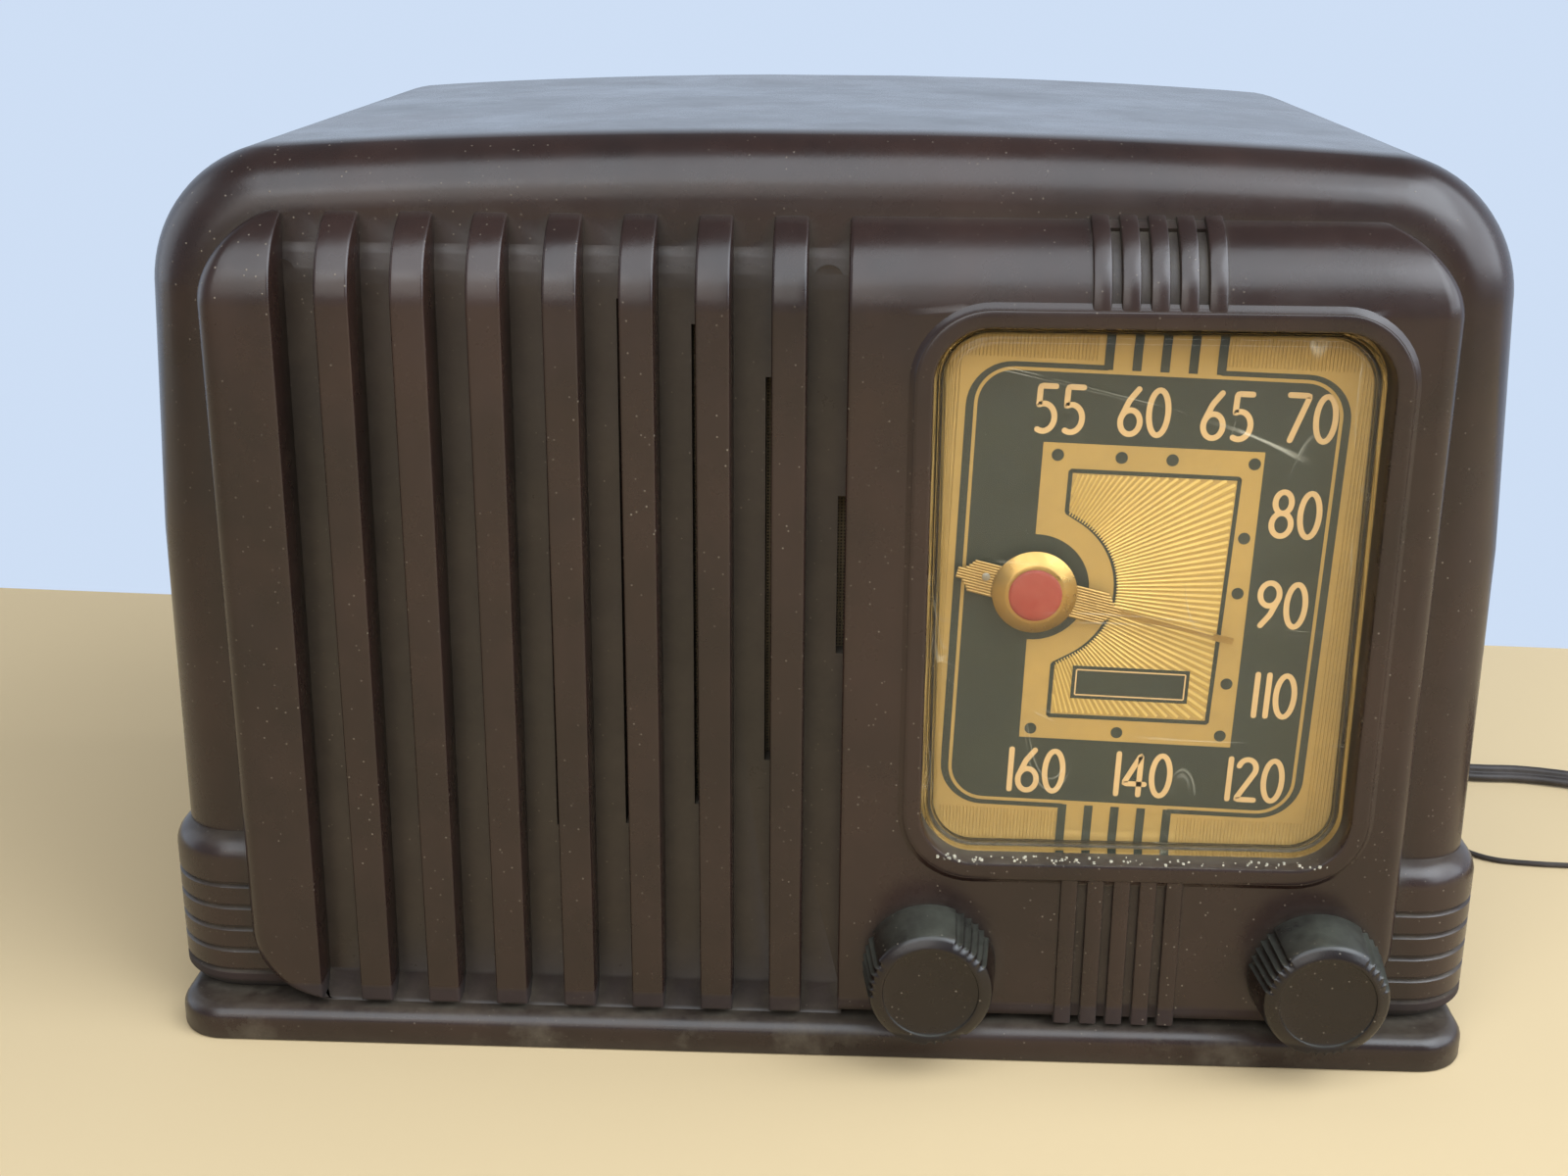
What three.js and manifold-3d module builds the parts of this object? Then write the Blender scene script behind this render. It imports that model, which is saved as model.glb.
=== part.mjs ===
// A brown Bakelite table radio of the 1940s: one moulded cabinet with grille bars, an upright dial
// with a pointer driven by a cord from the tuning knob, a volume knob, a five-valve chassis, a
// speaker, a rear cover with a loop antenna, a mains cord with its plug, and an antenna lead.
//
// Millimetres, +X to the right, +Y to the back, +Z up. Inside the model y = 0 is the front edge of
// the plinth and z = 0 the table. The exported group moves it so that the origin is at the middle
// of the footprint.
import * as THREE from 'three';
import { mergeVertices } from 'three/addons/utils/BufferGeometryUtils.js';
import Module from 'manifold-3d';

const wasm = await Module();
wasm.setup();

// ---------------------------------------------------------------- driving dimensions

const GAP = 0.3; // clearance between pieces that touch
const REAR_Y = 190; // rear edge of the cabinet
const KNOB_FRONT_Y = -12.6; // the foremost point
const WALL = 3.5;

const PLINTH = { halfWidth: 152.5, height: 8.4, corner: 12, edge: 3.5, floor: 4.6 };

const SHELL = {
  sideAtBase: 152,
  corner: { x: 117.5, z: 174.7, radius: 32 },
  crownHeight: 210.4,
  crownRadius: 1890,
  frontFillet: 14,
  frontTop: { y: 15.5, z: 183 }, // a point of the sloping front plane
  frontSlope: 3.3 / 175, // the front plane leans back this much per millimetre of height
  rearGrowth: 1.0145, // the mould draft makes the rear outline taller
};

const PANEL = { halfWidth: 133, bottom: 10.1, face: 2.6, corner: 20, curlZ: 174.5, curlRadius: 20, wall: 3.6 };
const SLAT = { first: -107.1, pitch: 16.08, width: 7.4, count: 7 };
const LEFT_BAR_RIGHT = -116.4; // the wide bar at the left ends here
const RIGHT_PANEL_LEFT = 5.4;
const SPEAKER = { x: -54.7, z: 114.5, radius: 62 };

const BEZEL = { x: 71.5, z: 111.3, halfX: 47.9, halfZ: 60.9, corner: 12, bead: 3.5, face: 1.4 };
const LENS = { halfX: 47.2, halfZ: 60.2, corner: 11.5, flangeY: 9.8, thickness: 1.2 };
const RIB = { first: 57.75, pitch: 5.95, width: 3.9, count: 5 };

const PIVOT = { x: 47.3, z: 112.7 }; // the dial pointer and the tuning capacitor turn here
const POINTER = { tip: 45.8, tail: 18.7, restAngle: -13.8 };
const DRUM_RADIUS = 29;
const DRUM_GROOVE = 27.6;
const CORD_Y = 20.5;

const KNOB = { z: 24.5, left: 26.4, right: 114.7, base: 15.4, face: 13.7, backY: 1.6 };
const SHAFT_RADIUS = 3;

const CHASSIS = { halfX: 134, front: 25, rear: 164.2, top: 48, metal: 1.2 };
const COVER = { front: 186, back: 188.4, inset: 4.2, bottom: 9 };
const COVER_POST = { x: 141, halfX: 5, zs: [35, 160], halfZ: 5 };
const CORD_EXIT = { x: 95, z: 24 };
const ANTENNA_EXIT = { x: 120, z: 24 };

// ---------------------------------------------------------------- solids from geometry

function toSolid(geometry) {
  geometry.deleteAttribute('normal');
  geometry.deleteAttribute('uv');
  const merged = mergeVertices(geometry, 1e-4);
  const corners = merged.index.array;
  const places = merged.attributes.position.array;
  const kept = [];
  let volume = 0;
  for (let i = 0; i < corners.length; i += 3) {
    const [a, b, c] = [corners[i], corners[i + 1], corners[i + 2]];
    if (a === b || b === c || c === a) continue;
    kept.push(a, b, c);
    const [p, q, r] = [a, b, c].map((k) => new THREE.Vector3().fromArray(places, 3 * k));
    volume += p.dot(q.cross(r));
  }
  if (volume < 0) kept.reverse();
  return new wasm.Manifold(new wasm.Mesh({
    numProp: 3,
    vertProperties: new Float32Array(places),
    triVerts: new Uint32Array(kept),
  }));
}

function toGeometry(solid) {
  const mesh = solid.getMesh();
  const geometry = new THREE.BufferGeometry();
  geometry.setAttribute('position', new THREE.BufferAttribute(mesh.vertProperties, 3));
  geometry.setIndex(new THREE.BufferAttribute(mesh.triVerts, 1));
  geometry.computeVertexNormals();
  return geometry;
}

const unite = (...solids) => solids.reduce((sum, solid) => sum.add(solid));
const cut = (solid, ...tools) => tools.reduce((left, tool) => left.subtract(tool), solid);

function extrude(points, depth) {
  const shape = new THREE.Shape(points.map(([u, v]) => new THREE.Vector2(u, v)));
  return new THREE.ExtrudeGeometry(shape, { depth, bevelEnabled: false });
}

// Prisms of an outline in the plane across X, Y or Z.
function prismX(points, x0, x1) {
  const turn = new THREE.Matrix4().makeBasis(
    new THREE.Vector3(0, 1, 0),
    new THREE.Vector3(0, 0, 1),
    new THREE.Vector3(1, 0, 0),
  );
  return toSolid(extrude(points, x1 - x0).applyMatrix4(turn).translate(x0, 0, 0));
}

function prismY(points, y0, y1) {
  return toSolid(extrude(points, y1 - y0).rotateX(Math.PI / 2).translate(0, y1, 0));
}

function prismZ(points, z0, z1) {
  return toSolid(extrude(points, z1 - z0).translate(0, 0, z0));
}

function block(x0, x1, y0, y1, z0, z1) {
  const box = new THREE.BoxGeometry(x1 - x0, y1 - y0, z1 - z0);
  return toSolid(box.translate((x0 + x1) / 2, (y0 + y1) / 2, (z0 + z1) / 2));
}

function rodX(y, z, radius, x0, x1, sides = 16) {
  const rod = new THREE.CylinderGeometry(radius, radius, x1 - x0, sides);
  return toSolid(rod.rotateZ(-Math.PI / 2).translate((x0 + x1) / 2, y, z));
}

function rodY(x, z, radius, y0, y1, sides = 16) {
  const rod = new THREE.CylinderGeometry(radius, radius, y1 - y0, sides);
  return toSolid(rod.translate(x, (y0 + y1) / 2, z));
}

function rodZ(x, y, radius, z0, z1, sides = 16) {
  const rod = new THREE.CylinderGeometry(radius, radius, z1 - z0, sides);
  return toSolid(rod.rotateX(Math.PI / 2).translate(x, y, (z0 + z1) / 2));
}

// Turned pieces: a profile of [radius, distance along the axis].
function latheY(x, z, profile, sides = 24) {
  const points = profile.map(([r, y]) => new THREE.Vector2(r, y));
  return toSolid(new THREE.LatheGeometry(points, sides).translate(x, 0, z));
}

function latheZ(x, y, profile, sides = 20) {
  const points = profile.map(([r, z]) => new THREE.Vector2(r, z));
  return toSolid(new THREE.LatheGeometry(points, sides).rotateX(Math.PI / 2).translate(x, y, 0));
}

// A closed skin over rings with the same number of points, each end closed by a fan.
function loft(rings, endPoint) {
  const places = rings.flat(2);
  const count = rings[0].length;
  const corners = [];
  for (let ring = 0; ring + 1 < rings.length; ring += 1) {
    for (let i = 0; i < count; i += 1) {
      const a = ring * count + i;
      const b = ring * count + ((i + 1) % count);
      corners.push(a, b, b + count, a, b + count, a + count);
    }
  }
  const middle = (ring) => [0, 1, 2].map((k) => ring.reduce((sum, p) => sum + p[k], 0) / count);
  const firstCentre = places.length / 3;
  places.push(...middle(rings[0]), ...(endPoint ?? middle(rings.at(-1))));
  const lastRing = (rings.length - 1) * count;
  for (let i = 0; i < count; i += 1) {
    const next = (i + 1) % count;
    corners.push(firstCentre, next, i);
    corners.push(firstCentre + 1, lastRing + i, lastRing + next);
  }
  const geometry = new THREE.BufferGeometry();
  geometry.setAttribute('position', new THREE.Float32BufferAttribute(places, 3));
  geometry.setIndex(corners);
  return toSolid(geometry);
}

// ---------------------------------------------------------------- outlines

function arc(u, v, radius, fromDegrees, toDegrees, steps) {
  return Array.from({ length: steps + 1 }, (_, i) => {
    const angle = THREE.MathUtils.degToRad(fromDegrees + ((toDegrees - fromDegrees) * i) / steps);
    return [u + radius * Math.cos(angle), v + radius * Math.sin(angle)];
  });
}

function roundedBox(u0, u1, v0, v1, radius, steps = 4) {
  return [
    ...arc(u1 - radius, v0 + radius, radius, -90, 0, steps),
    ...arc(u1 - radius, v1 - radius, radius, 0, 90, steps),
    ...arc(u0 + radius, v1 - radius, radius, 90, 180, steps),
    ...arc(u0 + radius, v0 + radius, radius, 180, 270, steps),
  ];
}

function roundedAround({ x, z }, halfX, halfZ, radius, steps = 4) {
  return roundedBox(x - halfX, x + halfX, z - halfZ, z + halfZ, radius, steps);
}

// The cabinet seen from the front, drawn in by an inset: side, corner, crown, corner, side.
function shellOutline(inset, bottom) {
  const { corner, sideAtBase, crownHeight, crownRadius } = SHELL;
  const right = [[sideAtBase - inset, bottom]];
  right.push(...arc(corner.x, corner.z, corner.radius - inset, 0, 82, 6));
  for (const x of [90, 55, 20]) {
    right.push([x, crownHeight - (x * x) / (2 * crownRadius) - inset]);
  }
  const left = right.map(([x, z]) => [-x, z]).reverse();
  return [...right, ...left];
}

const frontPlane = (z) => SHELL.frontTop.y + SHELL.frontSlope * (z - SHELL.frontTop.z);

// ---------------------------------------------------------------- cabinet

// A hollow-free copy of the shell, drawn in all round by an inset.
function shellBody(inset, bottom, rearY) {
  const fillet = SHELL.frontFillet - inset;
  const rings = [0, 22.5, 45, 67.5, 90].map((degrees) => {
    const angle = THREE.MathUtils.degToRad(degrees);
    const outline = shellOutline(inset + fillet * (1 - Math.sin(angle)), bottom);
    const back = inset + fillet * (1 - Math.cos(angle));
    return outline.map(([x, z]) => [x, frontPlane(z) + back, z]);
  });
  const rear = shellOutline(inset, bottom / SHELL.rearGrowth);
  rings.push(rear.map(([x, z]) => [x, rearY, z * SHELL.rearGrowth]));
  return loft(rings);
}

function plinthBody() {
  const { halfWidth, height, corner, edge } = PLINTH;
  const straightTop = height - edge;
  const levels = [[0, 0]];
  for (const degrees of [0, 30, 60, 90]) {
    const angle = THREE.MathUtils.degToRad(degrees);
    levels.push([straightTop + edge * Math.sin(angle), edge * (1 - Math.cos(angle))]);
  }
  const rings = levels.map(([z, inset]) => {
    const outline = roundedBox(-halfWidth + inset, halfWidth - inset, inset, REAR_Y - inset, corner - inset);
    return outline.map(([x, y]) => [x, y, z]);
  });
  return loft(rings);
}

// The fluted pilaster at a front corner, right-hand side: it bulges past the side and the front.
function pilaster() {
  const [inner, outer, front, back, radius] = [126, 155, 8, 50, 17];
  const levels = [[8.4, 3], [9.6, 1], [12, 0], [42.5, 0], [45.5, 1], [47.7, 3.2], [48.5, 6]];
  const rings = levels.map(([z, inset]) => {
    const side = outer - inset;
    const nose = front + inset;
    const outline = [
      [inner, nose],
      ...arc(side - radius, nose + radius, radius, -90, 0, 6),
      [side, back - 10],
      [inner, back],
    ];
    return outline.map(([x, y]) => [x, y, z]);
  });
  return loft(rings);
}

const mirrored = (solid) => solid.scale([-1, 1, 1]);

// The side view of the raised front, whose top edge curls back into the shell.
function panelProfile(inset, proud = 0) {
  const { face, bottom, curlZ, curlRadius } = PANEL;
  const curl = arc(face + curlRadius, curlZ, curlRadius + proud - inset, 180, 104, 6);
  return [[face - proud + inset, bottom + inset], ...curl, [18.4, curl.at(-1)[1]], [18.4, bottom + inset]];
}

const slatLeft = (n) => SLAT.first + SLAT.pitch * n;

function grilleGaps() {
  const gaps = [[LEFT_BAR_RIGHT, SLAT.first]];
  for (let n = 0; n < SLAT.count; n += 1) {
    const next = n + 1 < SLAT.count ? slatLeft(n + 1) : RIGHT_PANEL_LEFT;
    gaps.push([slatLeft(n) + SLAT.width, next]);
  }
  return gaps;
}

function raisedFront() {
  const { halfWidth, bottom, corner, curlZ, curlRadius } = PANEL;
  const outline = roundedBox(-halfWidth, halfWidth, bottom, curlZ + curlRadius, corner, 6);
  const body = prismX(panelProfile(0), -halfWidth, halfWidth).intersect(prismY(outline, -5, 30));
  const slices = grilleGaps().map(([x0, x1]) => block(x0, x1, -5, 30, 0, 220));
  return cut(body, ...slices);
}

// The hollow behind the dial panel, whose right-hand corners are rounded as the panel's are.
function panelPocket() {
  const { halfWidth, bottom, corner, curlZ, curlRadius, wall } = PANEL;
  const left = RIGHT_PANEL_LEFT + wall;
  const top = curlZ + curlRadius - wall;
  const profile = [...panelProfile(wall).slice(0, -2), [24, top], [24, bottom + wall]];
  // The outline starts well to the left, so that only its right-hand corners are rounded.
  const outline = roundedBox(left - corner, halfWidth - wall, bottom + wall, top, corner - wall, 6);
  return prismX(profile, left, halfWidth - wall).intersect(prismY(outline, -5, 30));
}

// The floor of the grille recess stands forward of the shell, with a ledge at the top.
function grilleFloor() {
  const profile = [[18.4, 8], [5.6, 8], [5.6, 8.4], [10.7, 14], [14, 183], [18.4, 183]];
  return prismX(profile, LEFT_BAR_RIGHT - 1, RIGHT_PANEL_LEFT + 1);
}

// Narrow slots let the sound out beside each bar, within the circle of the speaker.
function soundSlots() {
  const width = 1.7;
  const edges = Array.from({ length: SLAT.count }, (_, n) => slatLeft(n));
  edges.push(RIGHT_PANEL_LEFT);
  return edges.map((edge) => {
    const across = edge - width / 2 - SPEAKER.x;
    const half = Math.sqrt(SPEAKER.radius ** 2 - across ** 2);
    return block(edge - width, edge, -5, 22, SPEAKER.z - half, SPEAKER.z + half);
  });
}

function decorRibs() {
  const ribs = [];
  for (let n = 0; n < RIB.count; n += 1) {
    const x0 = RIB.first + RIB.pitch * n - RIB.width / 2;
    const x1 = x0 + RIB.width;
    const curl = arc(PANEL.face + PANEL.curlRadius, PANEL.curlZ, PANEL.curlRadius + 1, 180, 110, 6);
    ribs.push(prismX([[4, PANEL.curlZ], ...curl, [18, curl.at(-1)[1] - 3]], x0, x1));
    ribs.push(block(x0, x1, PANEL.face - 0.8, 5, PANEL.bottom, BEZEL.z - BEZEL.halfZ));
  }
  return ribs;
}

function bezelBead() {
  const { halfX, halfZ, corner, bead, face } = BEZEL;
  const levels = [[5, 0], [face + 1, 0], [face + 0.3, 0.5], [face, 1.3]];
  const rings = levels.map(([y, inset]) => {
    const grown = bead - inset;
    const outline = roundedAround(BEZEL, halfX + grown, halfZ + grown, corner + grown, 5);
    return outline.map(([x, z]) => [x, y, z]);
  });
  return loft(rings);
}

const DIAL_POSTS = [[15.2, 60], [15.2, 165], [125.9, 60], [125.9, 165]];
const BAFFLE_POSTS = [[-117, 48.5], [-117, 180], [1, 48.5], [1, 180]];
const CHASSIS_BOLTS = [[-120, 40], [120, 40], [-120, 150], [120, 150]];

function cabinet() {
  const { halfX, halfZ, corner } = BEZEL;
  const collarWall = 2.2;
  const floorTop = PLINTH.height;
  const outside = unite(
    shellBody(0, 5, REAR_Y), plinthBody(), pilaster(), mirrored(pilaster()),
    raisedFront(), grilleFloor(), bezelBead(), ...decorRibs(),
  );
  const hollow = cut(
    outside,
    shellBody(WALL, floorTop, REAR_Y + 10),
    block(-148.5, 148.5, 4, 186, -1, floorTop - PLINTH.floor),
    panelPocket(),
  );
  const collar = prismY(
    roundedAround(BEZEL, halfX + collarWall, halfZ + collarWall, corner + collarWall), 4, LENS.flangeY - GAP,
  );
  const posts = [
    ...DIAL_POSTS.map(([x, z]) => rodY(x, z, 3.2, 4.5, 13.7, 12)),
    ...BAFFLE_POSTS.map(([x, z]) => rodY(x, z, 3.2, 14.2, 20.1, 12)),
  ];
  for (const side of [-1, 1]) {
    for (const z of COVER_POST.zs) {
      const xs = [side * (COVER_POST.x - COVER_POST.halfX), side * 150].sort((a, b) => a - b);
      posts.push(block(...xs, 165, COVER.front - GAP, z - COVER_POST.halfZ, z + COVER_POST.halfZ));
    }
  }
  const holes = [
    prismY(roundedAround(BEZEL, halfX, halfZ, corner), -5, 12),
    rodY(KNOB.left, KNOB.z, 5, -5, 12),
    rodY(KNOB.right, KNOB.z, 5, -5, 12),
    ...DIAL_POSTS.map(([x, z]) => rodY(x, z, 1.5, 9, 14, 8)),
    ...BAFFLE_POSTS.map(([x, z]) => rodY(x, z, 1.7, 16.8, 21, 8)),
    ...CHASSIS_BOLTS.map(([x, y]) => rodZ(x, y, 2.2, 0, 9, 10)),
    ...soundSlots(),
  ];
  for (const x of [-COVER_POST.x, COVER_POST.x]) {
    holes.push(...COVER_POST.zs.map((z) => rodY(x, z, 1.6, 169, 190, 8)));
  }
  return cut(unite(hollow, collar, ...posts), ...holes);
}

// ---------------------------------------------------------------- speaker

const rimScrews = [45, 135, 225, 315].map((degrees) => {
  const [[x, z]] = arc(SPEAKER.x, SPEAKER.z, 59.4, degrees, degrees, 1);
  return [x, z];
});

function speakerBaffle() {
  const board = block(-122, 7.5, 20.4, 22.4, 44, 184);
  const holes = [...rimScrews, ...BAFFLE_POSTS].map(([x, z]) => rodY(x, z, 1.7, 19, 24, 8));
  return cut(board, rodY(SPEAKER.x, SPEAKER.z, 55, 19, 24, 32), ...holes);
}

function speakerBasket() {
  const profile = [
    [0, 58.8], [23, 58.8], [56.4, 28.4], [56.4, 22.7], [62, 22.7],
    [62, 24.2], [57.6, 24.2], [57.6, 29], [24, 60], [0, 60],
  ];
  const windows = [0, 90, 180, 270].map((degrees) => {
    const [[x, z]] = arc(SPEAKER.x, SPEAKER.z, 41, degrees, degrees, 1);
    return rodY(x, z, 9, 30, 62, 12);
  });
  const screwHoles = rimScrews.map(([x, z]) => rodY(x, z, 1.7, 22, 25, 8));
  return cut(latheY(SPEAKER.x, SPEAKER.z, profile, 32), ...windows, ...screwHoles);
}

function speakerCone() {
  const profile = [
    [0, 46], [12, 48], [52, 24.4], [55.8, 23.2], [55.8, 24.1], [52, 25.4], [13, 50.5], [0, 50.5],
  ];
  return latheY(SPEAKER.x, SPEAKER.z, profile, 32);
}

function screwAlongY(x, z, tipY, headY, headRadius, headThickness, shankRadius) {
  return unite(
    rodY(x, z, shankRadius, tipY, headY + 0.2, 8),
    rodY(x, z, headRadius, headY, headY + headThickness, 10),
  );
}

function outputTransformer() {
  return unite(
    block(-130, -94, 72, 92, 48 + GAP, 84),
    block(-123, -101, 65, 99, 54, 78),
  );
}

// ---------------------------------------------------------------- dial

// The clear window is a shallow pan with a flange behind the bezel.
function dialLens() {
  const { halfX, halfZ, corner, flangeY, thickness } = LENS;
  const centre = { x: BEZEL.x, z: BEZEL.z };
  const ring = (y, inset) => {
    const outline = roundedAround(centre, halfX - inset, halfZ - inset, corner - inset, 5);
    return outline.map(([x, z]) => [x, y, z]);
  };
  const outer = loft(
    [ring(flangeY + thickness, 0), ring(6, 0), ring(4.9, 0.8), ring(4.4, 2.4)],
    [centre.x, 3.7, centre.z],
  );
  const inner = loft(
    [ring(12, thickness), ring(6.9, thickness), ring(6, 2), ring(5.6, 3.2)],
    [centre.x, 4.9, centre.z],
  );
  const flange = prismY(
    roundedAround(centre, halfX + 2.6, halfZ + 2.6, corner + 2.6), flangeY, flangeY + thickness,
  );
  return cut(unite(outer, flange), inner);
}

function dialPlate() {
  const plate = prismY(roundedBox(22.6, 120.4, 49.2, 173.4, 11), 13, 13.5);
  return cut(plate, rodY(PIVOT.x, PIVOT.z, 4, 12, 15));
}

function dialBackplate() {
  const plate = prismY(roundedBox(11.6, 129.2, 50, 172, 4, 2), 14, 15.2);
  const holes = DIAL_POSTS.map(([x, z]) => rodY(x, z, 1.5, 13, 16, 8));
  return cut(plate, rodY(PIVOT.x, PIVOT.z, 5, 12, 17), ...holes);
}

function dialLampSocket() {
  return unite(rodX(22, 150, 5.2, 104, 116), block(106, 112, 15.5, 20, 146, 154));
}

function dialLamp() {
  const profile = [[0, 0], [4.2, 0], [4.6, 4], [4.6, 9], [3, 12.6], [0, 13.6]];
  const bulb = latheY(0, 0, profile, 16);
  return bulb.rotate([0, 0, 90]).translate([104 - GAP, 22, 150]);
}

// Turns a shape drawn around the pivot, pointing right, to the pointer's rest angle.
function pointerPlate() {
  const { tip, tail, restAngle } = POINTER;
  const outline = [
    [-tail, -3], [-tail + 4, -4], [-6, -5.5], [5, -6.5], [16, -5], [22, -3.2], [24, -1], [tip - 1.4, -0.6],
    [tip - 1.4, -2], [tip, -2], [tip, 2], [tip - 1.4, 2], [tip - 1.4, 0.6],
    [24, 1], [22, 3.2], [16, 5], [5, 6.5], [-6, 5.5], [-tail + 4, 4], [-tail, 3],
  ];
  const turned = outline.map(([u, v]) => {
    const place = new THREE.Vector2(u, v);
    place.rotateAround(new THREE.Vector2(0, 0), THREE.MathUtils.degToRad(restAngle));
    return [PIVOT.x + place.x, PIVOT.z + place.y];
  });
  return prismY(turned, 9.6, 10.2);
}

function pointerHub() {
  return latheY(PIVOT.x, PIVOT.z, [[0, 7.2], [6.4, 7.2], [9.4, 9], [9.4, 9.3], [0, 9.3]]);
}

function pointerJewel() {
  return latheY(PIVOT.x, PIVOT.z, [[0, 6.1], [3.4, 6.3], [5.4, 6.7], [5.9, 6.9], [0, 6.9]], 20);
}

function dialDrum() {
  const bore = SHAFT_RADIUS + GAP;
  const profile = [
    [bore, 17], [8, 17], [8, 18.5], [DRUM_RADIUS, 18.5], [DRUM_RADIUS, 19.4], [DRUM_GROOVE, 19.7],
    [DRUM_GROOVE, 21.3], [DRUM_RADIUS, 21.6], [DRUM_RADIUS, 22.5], [8, 22.5], [8, 26], [bore, 26], [bore, 17],
  ];
  return latheY(PIVOT.x, PIVOT.z, profile, 32);
}

// The loop of cord runs round the drum and the tuning shaft; its outline grows by an offset.
function cordLoop(offset) {
  const shaft = { x: KNOB.right, z: KNOB.z };
  const [big, small] = [DRUM_GROOVE + GAP + offset, SHAFT_RADIUS + GAP + offset];
  const heading = Math.atan2(shaft.z - PIVOT.z, shaft.x - PIVOT.x);
  const distance = Math.hypot(shaft.z - PIVOT.z, shaft.x - PIVOT.x);
  const spread = THREE.MathUtils.radToDeg(Math.acos((big - small) / distance));
  const along = THREE.MathUtils.radToDeg(heading);
  return [
    ...arc(PIVOT.x, PIVOT.z, big, along + spread, along - spread + 360, 24),
    ...arc(shaft.x, shaft.z, small, along - spread, along + spread, 6),
  ];
}

function dialCord() {
  const [y0, y1] = [CORD_Y - 0.4, CORD_Y + 0.4];
  return cut(prismY(cordLoop(0.8), y0, y1), prismY(cordLoop(0), y0 - 1, y1 + 1));
}

// ---------------------------------------------------------------- tuning capacitor and controls

const PLATES = { first: 38, pitch: 9, rotor: 5, thickness: 1, radius: 19 };

function tuningRotor() {
  const shaft = rodY(PIVOT.x, PIVOT.z, SHAFT_RADIUS, 10.5, 88);
  const plates = Array.from({ length: PLATES.rotor }, (_, n) => {
    const y = PLATES.first + PLATES.pitch * n;
    return prismY(arc(PIVOT.x, PIVOT.z, PLATES.radius, 180, 360, 12), y, y + PLATES.thickness);
  });
  return unite(shaft, ...plates);
}

function tuningStator() {
  const { x, z } = PIVOT;
  const bars = [-22, 22].map((side) => block(x + side - 1.2, x + side + 1.2, 31.8, 84.2, z + 18, z + 23));
  const plates = Array.from({ length: PLATES.rotor - 1 }, (_, n) => {
    const y = PLATES.first + PLATES.pitch * (n + 0.5);
    return block(x - 22, x + 22, y, y + PLATES.thickness, z + 4.5, z + 22);
  });
  return unite(...bars, ...plates);
}

function tuningFrame() {
  const { x, z } = PIVOT;
  const [bottom, top] = [z - 22, z + 26];
  const body = unite(
    block(x - 24, x + 24, 30, 31.5, bottom, top),
    block(x - 24, x + 24, 84.5, 86, bottom, top),
    block(x - 24, x + 24, 30, 86, bottom, bottom + 1.5),
  );
  return cut(body, rodY(x, z, SHAFT_RADIUS + GAP, 29, 87));
}

function capacitorBracket() {
  const [left, right] = [PIVOT.x - 18, PIVOT.x + 18];
  const [bottom, top] = [CHASSIS.top + GAP, PIVOT.z - 22 - GAP];
  return unite(
    block(left, right, 36, 37.5, bottom, top),
    block(left, right, 78, 79.5, bottom, top),
    block(left, right, 36, 79.5, top - 1.5, top),
    block(left, right, 36, 44, bottom, bottom + 1.5),
    block(left, right, 71, 79.5, bottom, bottom + 1.5),
  );
}

function tuningShaft() {
  const rod = rodY(KNOB.right, KNOB.z, SHAFT_RADIUS, -8, 40);
  const flanges = [18.6, 21.6].map((y) => rodY(KNOB.right, KNOB.z, 5, y, y + 0.8));
  return unite(rod, ...flanges);
}

function tuningBushing() {
  const bore = SHAFT_RADIUS + GAP;
  const profile = [
    [bore, 23.2], [6, 23.2], [6, 26.5], [8.5, 26.5], [8.5, 29], [6, 29], [6, 34], [bore, 34], [bore, 23.2],
  ];
  return latheY(KNOB.right, KNOB.z, profile, 16);
}

function volumeControl() {
  const bore = SHAFT_RADIUS + GAP;
  const profile = [
    [0, 42], [12, 42], [12, 27], [4.6, 27], [4.6, 23.4], [bore, 23.4], [bore, 31], [0, 31],
  ];
  return latheY(KNOB.left, KNOB.z, profile, 20);
}

function knob(x) {
  const { base, face, backY } = KNOB;
  const bore = SHAFT_RADIUS + GAP;
  const profile = [
    [0, KNOB_FRONT_Y + 0.3], [9.8, KNOB_FRONT_Y + 0.3], [10.3, KNOB_FRONT_Y], [11, KNOB_FRONT_Y],
    [face - 0.4, KNOB_FRONT_Y + 1], [face, KNOB_FRONT_Y + 1.8], [base, backY - 0.6], [base - 0.5, backY],
    [bore, backY], [bore, -8 - GAP], [0, -8 - GAP],
  ];
  return latheY(x, KNOB.z, profile, 32);
}

// ---------------------------------------------------------------- chassis

const VALVES = [
  ['rectifier', -112, 132],
  ['output', -72, 132],
  ['detector', 48, 132],
  ['if_amplifier', 84, 132],
  ['converter', 104, 76],
];

function chassisPan() {
  const { halfX, front, rear, top, metal } = CHASSIS;
  const bottom = PLINTH.height + GAP;
  const outside = block(-halfX, halfX, front, rear, bottom, top);
  const inside = block(-halfX + metal, halfX - metal, front + metal, rear - metal, bottom - 1, top - metal);
  const feet = CHASSIS_BOLTS.map(([x, y]) => {
    const out = x > 0 ? [x - 8, halfX] : [-halfX, x + 8];
    return block(...out, y - 8, y + 8, bottom, bottom + metal);
  });
  const holes = [
    rodY(KNOB.right, KNOB.z, 6.3, front - 1, front + 3),
    rodY(KNOB.left, KNOB.z, 5, front - 1, front + 3),
    ...VALVES.map(([, x, y]) => rodZ(x, y, 12.5, top - 3, top + 1)),
    ...CHASSIS_BOLTS.map(([x, y]) => rodZ(x, y, 2.2, 0, 12, 10)),
  ];
  return cut(unite(cut(outside, inside), ...feet), ...holes);
}

function valveSocket(x, y) {
  const { top } = CHASSIS;
  return latheZ(x, y, [
    [3.6, top - 5], [12, top - 5], [12, top + GAP], [16, top + GAP], [16, top + 2.8], [3.6, top + 2.8],
    [3.6, top - 5],
  ], 16);
}

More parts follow.
